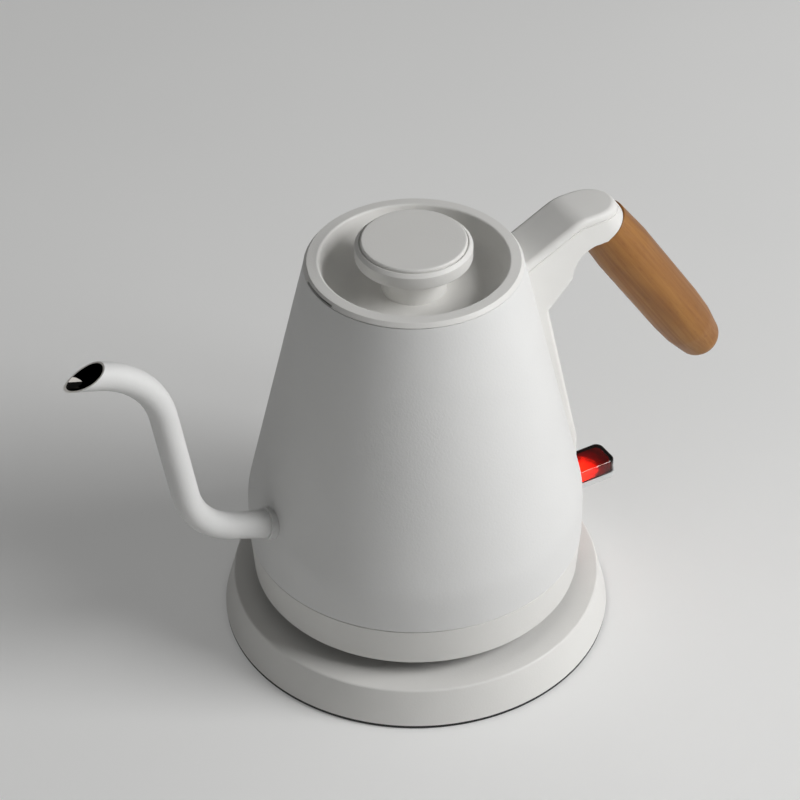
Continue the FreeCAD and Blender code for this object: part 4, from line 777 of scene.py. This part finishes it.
# Each screw: the heights of its head's face and of its tip.
BASE_SCREW = (1.2, 12.0)
COVER_SCREW = (24.6, 36.0)
ring = ring_tree()
foot = turned([(0.0, 0.0), (6.0, 0.0, 0.6), (6.0, 2.0, 0.1), (0.0, 2.0)], gap=2.0, segments=64)
feet = ["base_foot_%d" % number for number in (1, 2, 3, 4)]
for name, mesh, count, ring_radius, first_angle, body_name, nodes in (
        ("feet", foot, 4, FOOT_RING, QUARTER_FROM, "base", feet),
        ("base_screw_ring", cross_screw(*BASE_SCREW), 4, SCREW_RING, QUARTER_FROM, "base", ["base_screws"]),
        ("cover_screw_ring", cross_screw(*COVER_SCREW), 3, COVER_RING, COVER_FROM, "kettle",
         ["bottom_screws"])):
    slot = slots[nodes[0]]
    copies = ringed(mesh, ring, count, ring_radius, first_angle, finishes[slot])
    piece(name, copies, finishes[slot], body_name, nodes)

# Studio, in metres: pale floor, the camera and soft light
FLOOR_HALF = 4.0
FLOOR_LIFT = 0.16
floor_finish = grained(
    "studio_floor_pale_grey", "#DEDEDD", "#E4E4E3", 400.0, 2.0, 0.9, 0.04, 0.02,
    {"IOR": 1.5, "Specular IOR Level": 0.1})
# The floor is a little paler to the camera, and to what mirrors or shows it, than its light makes it.
floor_tree = floor_finish.node_tree
ray = put(floor_tree, "ShaderNodeLightPath")
seen = put(floor_tree, "ShaderNodeMath", {
    0: ray.outputs["Is Camera Ray"], 1: ray.outputs["Is Glossy Ray"]}, operation="MAXIMUM")
seen_through = put(floor_tree, "ShaderNodeMath", {
    0: seen.outputs["Value"], 1: ray.outputs["Is Transmission Ray"]}, operation="MAXIMUM")
lift = put(floor_tree, "ShaderNodeMath", {
    0: seen_through.outputs["Value"], 1: FLOOR_LIFT}, operation="MULTIPLY")
floor_shader = next(item for item in floor_tree.nodes if item.type == "BSDF_PRINCIPLED")
floor_shader.inputs["Emission Color"].default_value = tint("#F3F3F2")
floor_tree.links.new(lift.outputs["Value"], floor_shader.inputs["Emission Strength"])
floor_mesh = bmesh.new()
bmesh.ops.create_grid(floor_mesh, x_segments=8, y_segments=8, size=FLOOR_HALF)
floor = loose_object("studio_floor", floor_mesh)
floor.data.materials.append(floor_finish)

# Camera, worked out from the kettle's circles in the photograph; lens and sensor in millimetres
CAMERA_PLACE = Vector((0.0, -0.83819, 0.76643))
CAMERA_LENS = 120.72
CAMERA_SENSOR = 36.0
VIEW_TURN = math.radians(30.0)
PITCH = math.radians(38.313)
YAW = math.radians(-0.4016)
ROLL = math.radians(-0.6044)
turn_in = Matrix.Rotation(-VIEW_TURN, 3, "Z")
level_right = Vector((math.cos(YAW), -math.sin(YAW), 0.0))
forward = Vector((
    math.cos(PITCH) * math.sin(YAW), math.cos(PITCH) * math.cos(YAW), -math.sin(PITCH)))
level_up = level_right.cross(forward)
right = math.cos(ROLL) * level_right + math.sin(ROLL) * level_up
upward = -math.sin(ROLL) * level_right + math.cos(ROLL) * level_up
camera_data = bpy.data.cameras.new("camera")
camera_data.sensor_width = CAMERA_SENSOR
camera_data.lens = CAMERA_LENS
camera = bpy.data.objects.new("camera", camera_data)
bpy.context.collection.objects.link(camera)
axes = Matrix((turn_in @ right, turn_in @ upward, turn_in @ -forward)).transposed()
camera.matrix_world = Matrix.Translation(turn_in @ CAMERA_PLACE) @ axes.to_4x4()
bpy.context.scene.camera = camera

# Lights, as the camera sees them: metres to the right, towards the camera and up, then width and watts
AIM = Vector((0.0, 0.0, 0.09))
KEY = (1.27, 0.32, 0.93, 0.8, 21.0)
FILL = (-1.2, 0.8, 0.5, 1.2, 1.0)
TOP = (0.5, -0.6, 1.5, 0.7, 0.4)
for name, (side, nearer, height, width, power) in (("key", KEY), ("fill", FILL), ("top", TOP)):
    light = bpy.data.lights.new(name, "AREA")
    light.shape = "SQUARE"
    light.size = width
    light.energy = power
    lamp = bpy.data.objects.new(name, light)
    bpy.context.collection.objects.link(lamp)
    spot = AIM + turn_in @ Vector((side, -nearer, height))
    towards = (AIM - spot).to_track_quat("-Z", "Y").to_matrix().to_4x4()
    lamp.matrix_world = Matrix.Translation(spot) @ towards

world = bpy.data.worlds.new("studio")
world.use_nodes = True
sky = world.node_tree
sky.nodes.clear()
# Soft light from all round, weaker from straight above, so that hollows stay darker than sides.
SKY_LEVEL = 0.22
SKY_TOP = 0.07
way_up = put(sky, "ShaderNodeSeparateXYZ", {"Vector": put(sky, "ShaderNodeTexCoord").outputs["Generated"]})
level = put(sky, "ShaderNodeMapRange", {
    "Value": way_up.outputs["Z"], "To Min": SKY_LEVEL, "To Max": SKY_TOP})
soft = put(sky, "ShaderNodeBackground", {"Color": tint("#F4F4F2"), "Strength": level.outputs["Result"]})
put(sky, "ShaderNodeOutputWorld", {"Surface": soft.outputs["Background"]})
bpy.context.scene.world = world
bpy.context.scene.view_settings.view_transform = "Standard"
